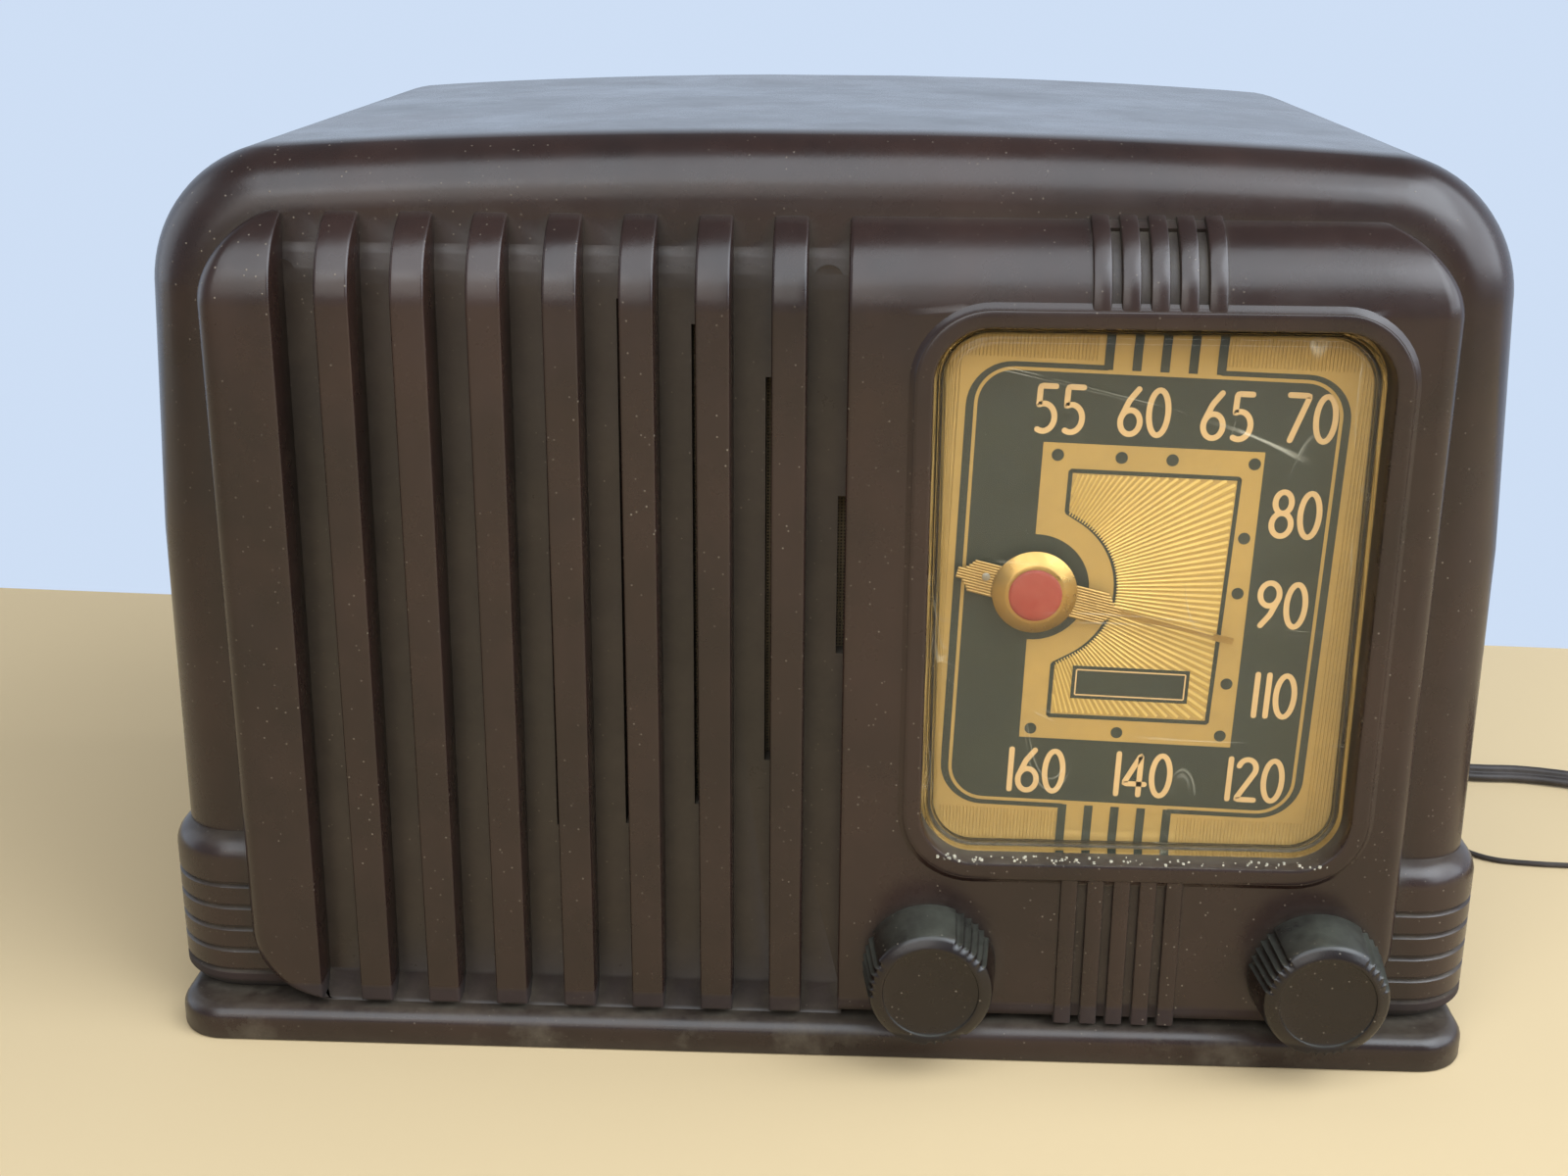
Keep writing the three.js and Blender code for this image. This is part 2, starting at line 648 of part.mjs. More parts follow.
function valve(x, y) {
  const base = CHASSIS.top + 3.1;
  return latheZ(x, y, [
    [0, base - 6], [3, base - 6], [3, base], [14.4, base], [14.4, base + 20], [13, base + 21],
    [14.8, base + 30], [14.8, base + 57], [11.5, base + 66], [5, base + 71], [0, base + 72],
  ], 18);
}

const intermediateCan = (x, y) => {
  const half = 16.5;
  const bottom = CHASSIS.top + GAP;
  return prismZ(roundedBox(x - half, x + half, y - half, y + half, 4, 2), bottom, bottom + 68);
};

// The tag board under the deck, with the paper capacitors and resistors that are soldered to it.
function componentBoard() {
  const top = 22;
  const underDeck = CHASSIS.top - CHASSIS.metal - GAP;
  const board = block(-92, 72, 96, 124, top - 1.5, top);
  const capacitors = [-74, -34, 6, 46].map((x) => rodX(104, top + 5, 5.5, x - 16, x + 16, 12));
  const resistors = [-80, -60, -40, -20, 0, 20, 40, 60].map((x) => rodY(x, top + 1.9, 2.2, 112, 122, 8));
  const hangers = [-88, 68].map((x) => rodZ(x, 118, 2.5, top - 1, underDeck, 8));
  return unite(board, ...capacitors, ...resistors, ...hangers);
}

// ---------------------------------------------------------------- back

function rearCover() {
  const { front, back, inset, bottom } = COVER;
  const outline = shellOutline(inset, bottom).map(([x, z]) => [x, z > 100 ? z * 1.0141 : z]);
  const slots = [];
  for (const row of [92, 134]) {
    for (let n = -4; n <= 4; n += 1) {
      slots.push(block(n * 22 - 2.5, n * 22 + 2.5, 180, 195, row, row + 30));
    }
  }
  const screwHoles = [-COVER_POST.x, COVER_POST.x].flatMap(
    (x) => COVER_POST.zs.map((z) => rodY(x, z, 1.9, 180, 195, 8)),
  );
  return cut(
    prismY(outline, front, back), ...slots, ...screwHoles,
    rodY(CORD_EXIT.x, CORD_EXIT.z, 5.2, 180, 195),
    rodY(ANTENNA_EXIT.x, ANTENNA_EXIT.z, 2.6, 180, 195),
  );
}

function loopAntenna() {
  const outer = roundedBox(-122, 122, 62, 192, 20);
  const inner = roundedBox(-110, 110, 74, 180, 10);
  const back = COVER.front - GAP;
  return cut(prismY(outer, back - 4.4, back), prismY(inner, back - 6, back + 2));
}

function antennaTerminals() {
  const plateY = CHASSIS.rear + GAP;
  const strip = block(104, 128, plateY, plateY + 2.5, 24, 36);
  const screws = [110, 122].map((x) => rodY(x, 30, 2.4, plateY + 2, plateY + 5, 10));
  return unite(strip, ...screws);
}

function antennaGrommet() {
  const { x, z } = ANTENNA_EXIT;
  return latheY(x, z, [
    [1, 185], [3.6, 185], [3.6, 185.7], [2.3, 185.8], [2.3, 188.6], [3.6, 188.7], [3.6, 189.6],
    [1, 189.6], [1, 185],
  ], 12);
}

// ---------------------------------------------------------------- cords

const MAINS = { radius: 2.3, coilX: 290, coilY: 129.2, turn: 28, half: 7 };
const LEAD = { radius: 0.75, coilX: 248, coilY: 100.6, turn: 7.8, half: 2.4 };

const MAINS_ROUTE = [
  [95, 214.3, 24], [95, 222, 23.4], [96.5, 232, 20.6], [101, 242, 15], [109.5, 249.5, 8.8],
  [120.5, 253.5, 4.4], [133, 253.5, 2.7], [145, 248, 2.7], [154.5, 238, 2.7], [161, 225, 2.7],
  [165.5, 211, 2.7], [170.5, 197, 2.7], [178.5, 184.5, 2.7], [190, 176, 2.7], [203, 172.4, 2.7],
  [218, 171.9, 2.7], [232, 168.6, 2.7], [246, 163.8, 2.7], [257, 161, 2.7], [266, 160.2, 2.7],
];

const LEAD_ROUTE = [
  [120, 189.9, 24], [120, 196, 23], [121, 204, 18.4], [124.5, 211, 10.6], [130.5, 214.6, 3.8],
  [138.5, 213, 1.1], [147, 206.5, 0.9], [155, 197, 0.9], [162, 184, 0.9], [167, 169, 0.9],
  [171.5, 152, 0.9], [177.5, 134, 0.9], [184, 121, 0.9], [191.5, 113.6, 0.9], [202, 111.2, 0.9],
  [212.5, 110.4, 0.9], [223, 110, 0.9], [234, 110, 0.9], [240, 110, 0.9],
];

function tube(route, radius, steps) {
  const curve = new THREE.CatmullRomCurve3(route.map((p) => new THREE.Vector3(...p)));
  const section = new THREE.Shape();
  section.setFromPoints(arc(0, 0, radius, 0, 315, 7).map(([u, v]) => new THREE.Vector2(u, v)));
  return toSolid(new THREE.ExtrudeGeometry(section, { extrudePath: curve, steps, bevelEnabled: false }));
}

function coilRing({ radius, coilX, coilY, turn, half }) {
  const bottom = radius / 8;
  const profile = [
    [turn - half, bottom], [turn + half, bottom], [turn + half, bottom + 2 * half],
    [turn - half, bottom + 2 * half], [turn - half, bottom],
  ];
  return latheZ(coilX, coilY, profile, 24);
}

function strainRelief() {
  const { x, z } = CORD_EXIT;
  return latheY(x, z, [
    [0, 183.2], [6.6, 183.2], [6.6, 185.7], [4.8, 185.8], [4.8, 188.6], [6.6, 188.7], [6.6, 190.6],
    [5, 191], [3.2, 214], [0, 214],
  ], 16);
}

const PLUG = { x: MAINS.coilX + MAINS.turn, back: 102.4, face: 72.2, z: 12.9, bladeOffset: 6.35 };

function plugBody() {
  const { x, back, face, z } = PLUG;
  return latheY(x, z, [
    [0, back], [4, back], [5, back - 3], [6.5, back - 9], [12.4, back - 17], [12.6, face + 1],
    [12, face], [0, face],
  ], 20);
}

// ---------------------------------------------------------------- materials and the scene graph

function material(color, roughness, metalness = 0, opacity = 1) {
  const transparent = opacity < 1;
  return new THREE.MeshStandardMaterial({ color, roughness, metalness, opacity, transparent });
}

const BAKELITE = material(0x3a1f17, 0.32);
const KNOB_BAKELITE = material(0x4a2a1e, 0.35);
const CLEAR = material(0xd8d4c4, 0.08, 0, 0.3);
const GOLD = material(0xb8924a, 0.3, 1);
const STEEL = material(0x9a9a96, 0.4, 1);
const PLATED = material(0x8e8f8a, 0.45, 1);
const CARD = material(0x6e5137, 0.9);
const RUBBER = material(0x2a211c, 0.8);

const radio = new THREE.Group();
radio.position.y = -(REAR_Y + KNOB_FRONT_Y) / 2;

function piece(name, solid, look) {
  const mesh = new THREE.Mesh(toGeometry(solid), look);
  mesh.name = name;
  radio.add(mesh);
}

piece('cabinet', cabinet(), BAKELITE);

piece('grille_cloth', block(-112, 6.5, 19.5, 20.1, 52.2, 176.3), material(0x5d5138, 0.95));
piece('speaker_baffle', speakerBaffle(), CARD);
piece('speaker_basket', speakerBasket(), PLATED);
piece('speaker_cone', speakerCone(), material(0x3c352c, 0.95));
piece('speaker_magnet', latheY(SPEAKER.x, SPEAKER.z, [
  [0, 60.3], [21, 60.3], [21, 63], [17, 63], [17, 85], [0, 85],
]), STEEL);
piece('output_transformer', outputTransformer(), material(0x3b3a38, 0.6, 0.6));

piece('dial_lens', dialLens(), CLEAR);
piece('dial_plate', dialPlate(), material(0x33372b, 0.5));
piece('dial_backplate', dialBackplate(), PLATED);
piece('dial_lamp_socket', dialLampSocket(), PLATED);
piece('dial_lamp', dialLamp(), CLEAR);
piece('pointer', pointerPlate(), GOLD);
piece('pointer_hub', pointerHub(), GOLD);
piece('pointer_jewel', pointerJewel(), material(0x7a0f10, 0.15));
piece('dial_drum', dialDrum(), PLATED);
piece('dial_cord', dialCord(), material(0xb0a080, 0.9));
piece('dial_cord_spring', rodX(24.6, PIVOT.z + 16, 1.5, PIVOT.x - 7, PIVOT.x + 7, 10), STEEL);

piece('tuning_rotor', tuningRotor(), material(0xb9bab6, 0.4, 1));
piece('tuning_stator', tuningStator(), material(0xb9bab6, 0.4, 1));
piece('tuning_capacitor_frame', tuningFrame(), PLATED);
piece('capacitor_bracket', capacitorBracket(), PLATED);
piece('tuning_shaft', tuningShaft(), material(0xa88a4e, 0.4, 1));
piece('tuning_bushing', tuningBushing(), material(0xa88a4e, 0.4, 1));
piece('tuning_knob', knob(KNOB.right), KNOB_BAKELITE);
piece('volume_knob', knob(KNOB.left), KNOB_BAKELITE);
piece('volume_shaft', rodY(KNOB.left, KNOB.z, SHAFT_RADIUS, -8, 30), STEEL);
piece('volume_control', volumeControl(), PLATED);

piece('chassis', chassisPan(), PLATED);
for (const [name, x, y] of VALVES) {
  piece(`valve_${name}`, valve(x, y), material(0x8d9290, 0.15, 0, 0.5));
  piece(`socket_${name}`, valveSocket(x, y), material(0x2b2420, 0.6));
}
piece('if_can_input', intermediateCan(118.5, 125), material(0xb5b6b2, 0.35, 1));
piece('if_can_output', intermediateCan(8, 132), material(0xb5b6b2, 0.35, 1));
piece('filter_capacitor', rodZ(-32, 132, 17, CHASSIS.top + GAP, 118, 20), material(0xa8a9a5, 0.4, 1));
piece('oscillator_coil', rodX(140, 24, 8, 60, 100), material(0x8a5a32, 0.5));
piece('component_board', componentBoard(), material(0xb99a5c, 0.6));

piece('rear_cover', rearCover(), CARD);
piece('loop_antenna', loopAntenna(), material(0x7a4a2c, 0.6));
for (const [side, x] of [['left', -COVER_POST.x], ['right', COVER_POST.x]]) {
  for (const [level, z] of [['lower', COVER_POST.zs[0]], ['upper', COVER_POST.zs[1]]]) {
    piece(`rear_screw_${level}_${side}`, screwAlongY(x, z, 171, COVER.back + GAP, 3.4, 1.2, 1.3), STEEL);
  }
}
piece('antenna_terminals', antennaTerminals(), CARD);
piece('antenna_grommet', antennaGrommet(), RUBBER);

piece('cord_strain_relief', strainRelief(), RUBBER);
piece('power_cord', tube(MAINS_ROUTE, MAINS.radius, 36), RUBBER);
piece('power_cord_coil', coilRing(MAINS), RUBBER);
piece('plug_body', plugBody(), RUBBER);
for (const [side, offset] of [['left', -PLUG.bladeOffset], ['right', PLUG.bladeOffset]]) {
  const [x, y] = [PLUG.x + offset, PLUG.face - GAP];
  const blade = block(x - 0.8, x + 0.8, y - 17.5, y, PLUG.z - 3.2, PLUG.z + 3.2);
  piece(`plug_blade_${side}`, blade, material(0xb08d4f, 0.35, 1));
}
piece('antenna_lead', tube(LEAD_ROUTE, LEAD.radius, 60), material(0x4a3a2a, 0.8));
piece('antenna_lead_coil', coilRing(LEAD), material(0x4a3a2a, 0.8));

export default radio;
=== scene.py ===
"""Looks of a 1940s Bakelite table radio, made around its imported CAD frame.

Lengths are in millimetres and angles in degrees until a mesh is made. Inside the script y = 0 is
the front edge of the plinth, as in the CAD model; place() turns a point into the frame's metres.
"""
import math
import random

import bpy
import numpy as np
from mathutils import Matrix, Vector


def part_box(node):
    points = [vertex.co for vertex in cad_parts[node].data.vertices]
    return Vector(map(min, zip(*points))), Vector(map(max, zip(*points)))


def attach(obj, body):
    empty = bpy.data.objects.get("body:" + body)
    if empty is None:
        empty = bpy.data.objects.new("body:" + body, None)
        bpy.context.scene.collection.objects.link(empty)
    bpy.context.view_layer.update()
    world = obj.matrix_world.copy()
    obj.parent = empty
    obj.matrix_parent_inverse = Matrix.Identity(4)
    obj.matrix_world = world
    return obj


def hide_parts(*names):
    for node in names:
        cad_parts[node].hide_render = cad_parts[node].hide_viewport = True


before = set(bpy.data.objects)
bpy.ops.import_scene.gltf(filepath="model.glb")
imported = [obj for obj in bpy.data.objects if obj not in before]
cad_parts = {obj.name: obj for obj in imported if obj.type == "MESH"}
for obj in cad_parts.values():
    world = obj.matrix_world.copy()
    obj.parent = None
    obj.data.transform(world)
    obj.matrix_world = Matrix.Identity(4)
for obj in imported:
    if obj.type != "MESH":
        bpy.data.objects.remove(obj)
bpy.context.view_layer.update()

MM = 0.001
FRONT_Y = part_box("cabinet")[0][1]  # the plinth's front edge in the frame
REAR_Y = (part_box("cabinet")[1][1] - FRONT_Y) / MM


def place(points):
    """Millimetres from the plinth's front edge to metres in the frame."""
    placed = np.array(points, dtype=float).reshape(-1, 3) * MM
    placed[:, 1] += FRONT_Y
    return placed


def place_one(x, y, z):
    return Vector(place([(x, y, z)])[0])


def node_box(node):
    """A CAD node's lowest and highest corners, in the script's millimetres."""
    low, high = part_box(node)
    shift = np.array([0, FRONT_Y, 0])
    return (np.array(low) - shift) / MM, (np.array(high) - shift) / MM


def middle_of(node):
    low, high = node_box(node)
    return (low + high) / 2


# ---------------------------------------------------------------- camera, floor and light

CAMERA_PLACE = (8.28, -392.3, 242.6)
CAMERA_YAW = -0.0403
CAMERA_PITCH = 0.3131
CAMERA_ROLL = -0.0063
CAMERA_LENS = 43.79


def make_camera():
    data = bpy.data.cameras.new("camera")
    data.lens = CAMERA_LENS
    data.sensor_width = 36
    data.clip_start = 0.01
    camera = bpy.data.objects.new("camera", data)
    bpy.context.scene.collection.objects.link(camera)
    ahead = Vector((
        math.sin(CAMERA_YAW) * math.cos(CAMERA_PITCH),
        math.cos(CAMERA_YAW) * math.cos(CAMERA_PITCH),
        -math.sin(CAMERA_PITCH),
    ))
    right = Vector((math.cos(CAMERA_YAW), -math.sin(CAMERA_YAW), 0))
    up = right.cross(ahead)
    tilted_right = right * math.cos(CAMERA_ROLL) - up * math.sin(CAMERA_ROLL)
    tilted_up = tilted_right.cross(ahead)
    turn = Matrix((tilted_right, tilted_up, -ahead)).transposed()
    camera.matrix_world = Matrix.Translation(place_one(*CAMERA_PLACE)) @ turn.to_4x4()
    bpy.context.scene.camera = camera


FLOOR_HALF = 2.6
FLOOR_EDGE = (0.228, -0.06)  # how far back the card lies in the middle, and how that changes along X


def make_floor():
    mesh = bpy.data.meshes.new("floor")
    middle, slope = FLOOR_EDGE
    corners = [(-FLOOR_HALF, -FLOOR_HALF, 0), (FLOOR_HALF, -FLOOR_HALF, 0)]
    corners += [(x, middle + slope * x, 0) for x in (FLOOR_HALF, -FLOOR_HALF)]
    mesh.from_pydata(corners, [], [(0, 1, 2, 3)])
    floor = bpy.data.objects.new("floor", mesh)
    bpy.context.scene.collection.objects.link(floor)
    look = bpy.data.materials.new("floor")
    look.use_nodes = True
    shader = look.node_tree.nodes["Principled BSDF"]
    shader.inputs["Base Color"].default_value = (0.58, 0.44, 0.25, 1)
    shader.inputs["Roughness"].default_value = 0.8
    mesh.materials.append(look)


def area_light(name, place_at, aim, size, power, colour=(1, 1, 1)):
    data = bpy.data.lights.new(name, "AREA")
    data.shape = "RECTANGLE"
    data.size, data.size_y = size
    data.energy = power
    data.color = colour
    light = bpy.data.objects.new(name, data)
    bpy.context.scene.collection.objects.link(light)
    light.location = place_at
    light.rotation_euler = (Vector(aim) - Vector(place_at)).to_track_quat("-Z", "Y").to_euler()


WALL_GLOW = (0.62, 0.735, 0.91)
ROOM_GLOW = (0.3, 0.33, 0.38)
CEILING_GLOW = (0.17, 0.185, 0.21)


def make_world():
    """A pale wall behind the radio, a dimmer room in front of it and a dim ceiling."""
    world = bpy.data.worlds.new("studio")
    bpy.context.scene.world = world
    world.use_nodes = True
    nodes = world.node_tree.nodes
    links = world.node_tree.links
    heading = nodes.new("ShaderNodeTexCoord")
    split = nodes.new("ShaderNodeSeparateXYZ")
    links.new(heading.outputs["Generated"], split.inputs[0])
    colour = None
    for axis, low, high, tone in (("Y", 0.25, -0.5, ROOM_GLOW), ("Z", 0.3, 0.75, CEILING_GLOW)):
        share = nodes.new("ShaderNodeMapRange")
        links.new(split.outputs[axis], share.inputs["Value"])
        share.inputs["From Min"].default_value = low
        share.inputs["From Max"].default_value = high
        mix = nodes.new("ShaderNodeMix")
        mix.data_type = "RGBA"
        links.new(share.outputs["Result"], mix.inputs[0])
        mix.inputs[7].default_value = (*tone, 1)
        if colour:
            links.new(colour, mix.inputs[6])
        else:
            mix.inputs[6].default_value = (*WALL_GLOW, 1)
        colour = mix.outputs[2]
    links.new(colour, nodes["Background"].inputs[0])


def make_lights():
    make_world()
    area_light("window_above", (0.25, -0.95, 1.4), (0, 0, 0.1), (2.8, 1.3), 40, (0.86, 0.93, 1))
    area_light("front", (-0.5, -1.8, 0.8), (0, 0, 0.1), (1.4, 0.9), 8, (1, 0.96, 0.9))
    area_light("left", (-1.3, 0.15, 0.5), (0, 0, 0.12), (0.8, 1.0), 2.5, (0.85, 0.92, 1))
    area_light("right", (1.1, -0.45, 0.85), (0, 0, 0.12), (1.5, 1.3), 24, (0.82, 0.9, 1))


make_camera()
make_floor()
make_lights()
bpy.context.scene.view_settings.view_transform = "Standard"


# ---------------------------------------------------------------- meshes from points


def arc(u, v, radius, start, end, steps):
    """Points of an arc, from one angle to another, both ends included."""
    angles = np.radians(np.linspace(start, end, steps + 1))
    return np.column_stack((u + radius * np.cos(angles), v + radius * np.sin(angles)))


def rounded_box(u0, u1, v0, v1, radius, steps=8):
    return np.vstack((
        arc(u1 - radius, v0 + radius, radius, -90, 0, steps),
        arc(u1 - radius, v1 - radius, radius, 0, 90, steps),
        arc(u0 + radius, v1 - radius, radius, 90, 180, steps),
        arc(u0 + radius, v0 + radius, radius, 180, 270, steps),
    ))


def at_y(outline, y):
    """A front-view outline of (x, z) as points at one depth."""
    outline = np.asarray(outline)
    return np.column_stack((outline[:, 0], np.full(len(outline), float(y)), outline[:, 1]))


def at_z(outline, z):
    outline = np.asarray(outline)
    return np.column_stack((outline, np.full(len(outline), float(z))))


def at_x(outline, x):
    outline = np.asarray(outline)
    return np.column_stack((np.full(len(outline), float(x)), outline))


class Solid:
    """Points in millimetres with faces; solids are added together before they become a mesh."""

    def __init__(self, points, faces):
        self.points = np.asarray(points, dtype=float).reshape(-1, 3)
        self.faces = [tuple(int(i) for i in face) for face in faces]

    def __add__(self, other):
        shift = len(self.points)
        faces = self.faces + [tuple(i + shift for i in face) for face in other.faces]
        return Solid(np.vstack((self.points, other.points)), faces)

    def outward(self):
        """The same solid with its faces pointing out."""
        volume = 0.0
        for face in self.faces:
            a = self.points[face[0]]
            for i in range(1, len(face) - 1):
                volume += a @ np.cross(self.points[face[i]], self.points[face[i + 1]])
        if volume < 0:
            self.faces = [face[::-1] for face in self.faces]
        return self


def total(solids):
    solids = list(solids)
    whole = solids[0]
    for solid in solids[1:]:
        whole = whole + solid
    return whole


def loft(rings, first_point=None, last_point=None, closed=False):
    """A skin over rings of equal count. Ends are flat caps, or fans to a point."""
    rings = [np.asarray(ring, dtype=float) for ring in rings]
    count = len(rings[0])
    points = np.vstack(rings)
    steps = len(rings) if closed else len(rings) - 1
    faces = []
    for k in range(steps):
        low = k * count
        high = ((k + 1) % len(rings)) * count
        for i in range(count):
            j = (i + 1) % count
            faces.append((low + i, low + j, high + j, high + i))
    if not closed:
        last = (len(rings) - 1) * count
        if first_point is None:
            faces.append(tuple(range(count - 1, -1, -1)))
        else:
            points = np.vstack((points, first_point))
            apex = len(points) - 1
            faces += [((i + 1) % count, i, apex) for i in range(count)]
        if last_point is None:
            faces.append(tuple(range(last, last + count)))
        else:
            points = np.vstack((points, last_point))
            apex = len(points) - 1
            faces += [(last + i, last + (i + 1) % count, apex) for i in range(count)]
    return Solid(points, faces).outward()


def prism_x(outline, x0, x1):
    return loft([at_x(outline, x0), at_x(outline, x1)])


def prism_y(outline, y0, y1):
    return loft([at_y(outline, y0), at_y(outline, y1)])


def prism_z(outline, z0, z1):
    return loft([at_z(outline, z0), at_z(outline, z1)])


def block(x0, x1, y0, y1, z0, z1):
    return prism_z([(x0, y0), (x1, y0), (x1, y1), (x0, y1)], z0, z1)


def circle(u, v, radius, sides):
    return arc(u, v, radius, 0, 360, sides)[:-1]


def rod_y(x, z, radius, y0, y1, sides=24):
    return prism_y(circle(x, z, radius, sides), y0, y1)


def rod_z(x, y, radius, z0, z1, sides=24):
    return prism_z(circle(x, y, radius, sides), z0, z1)


def turned(profile, sides, ring):
    """A turned piece: a profile of (radius, distance), closed or ending on the axis."""
    rings = [ring(radius, along, sides) for radius, along in profile]
    on_axis = profile[0][0] == 0
    if not on_axis:
        return loft(rings[:-1] if profile[0] == profile[-1] else rings, closed=True)
    return loft(rings[1:-1], rings[0][0], rings[-1][0])


def lathe_y(x, z, profile, sides=48):
    return turned(profile, sides, lambda r, y, n: at_y(circle(x, z, r, n), y))


def lathe_z(x, y, profile, sides=48):
    return turned(profile, sides, lambda r, z, n: at_z(circle(x, y, r, n), z))


def sweep(route, section, rolls=0.0):
    """A section of (across, up) points swept along a route; rolls turns it about the route, in degrees."""
    route = np.asarray(route, dtype=float)
    section = np.asarray(section, dtype=float)
    rolls = np.radians(np.broadcast_to(rolls, len(route)))
    ahead = np.gradient(route, axis=0)
    ahead /= np.linalg.norm(ahead, axis=1)[:, None]
    rings = []
    side = np.cross(ahead[0], (0, 0, 1))
    if np.linalg.norm(side) < 0.2:
        side = np.array([1.0, 0, 0])
    for point, heading, roll in zip(route, ahead, rolls):
        level = np.cross(heading, (0, 0, 1))
        if np.linalg.norm(level) > 0.2:
            side = level
        side = side - heading * (side @ heading)
        side = side / np.linalg.norm(side)
        lift = np.cross(side, heading)
        across = side * math.cos(roll) + lift * math.sin(roll)
        upward = lift * math.cos(roll) - side * math.sin(roll)
        rings.append(point + section[:, :1] * across + section[:, 1:] * upward)
    return loft(rings)


def smooth_route(points, step):
    """A Catmull-Rom curve through points, sampled about every step millimetres."""
    points = np.asarray(points, dtype=float)
    padded = np.vstack((2 * points[0] - points[1], points, 2 * points[-1] - points[-2]))
    out = [points[0]]
    for k in range(1, len(padded) - 2):
        p0, p1, p2, p3 = padded[k - 1:k + 3]
        count = max(2, round(float(np.linalg.norm(p2 - p1)) / step))
        for t in np.linspace(0, 1, count + 1)[1:]:
            out.append(0.5 * (
                2 * p1 + (p2 - p0) * t + (2 * p0 - 5 * p1 + 4 * p2 - p3) * t ** 2
                + (3 * p1 - p0 - 3 * p2 + p3) * t ** 3
            ))
    return np.array(out)


def make_object(name, solid, material=None, sharp=35.0):
    """A mesh object in the frame, smooth except at edges sharper than an angle."""
    mesh = bpy.data.meshes.new(name)
    mesh.from_pydata(place(solid.points).tolist(), [], solid.faces)
    obj = bpy.data.objects.new(name, mesh)
    bpy.context.scene.collection.objects.link(obj)
    if material:
        mesh.materials.append(material)
    shade(mesh, sharp)
    return obj


def shade(mesh, sharp):
    mesh.polygons.foreach_set("use_smooth", [True] * len(mesh.polygons))
    mesh.set_sharp_from_angle(angle=math.radians(sharp))
    mesh.update()


def sculpt(name, start, steps, sharp=35.0):
    """Joins solids to a start and cuts solids from it: steps are ("UNION" or "DIFFERENCE", solid)."""
    obj = make_object(name, start)
    tools = []
    for number, (operation, solid) in enumerate(steps):
        tool = make_object(f"{name}_tool_{number}", solid)
        tools.append(tool)
        modifier = obj.modifiers.new(f"step_{number}", "BOOLEAN")
        modifier.operation = operation
        modifier.object = tool
        modifier.solver = "MANIFOLD"
    graph = bpy.context.evaluated_depsgraph_get()
    finished = bpy.data.meshes.new_from_object(obj.evaluated_get(graph))
    obj.modifiers.clear()
    old = obj.data
    obj.data = finished
    bpy.data.meshes.remove(old)
    for tool in tools:
        mesh = tool.data
        bpy.data.objects.remove(tool)
        bpy.data.meshes.remove(mesh)
    finished.name = name
    shade(finished, sharp)
    return obj


# ---------------------------------------------------------------- shader graphs


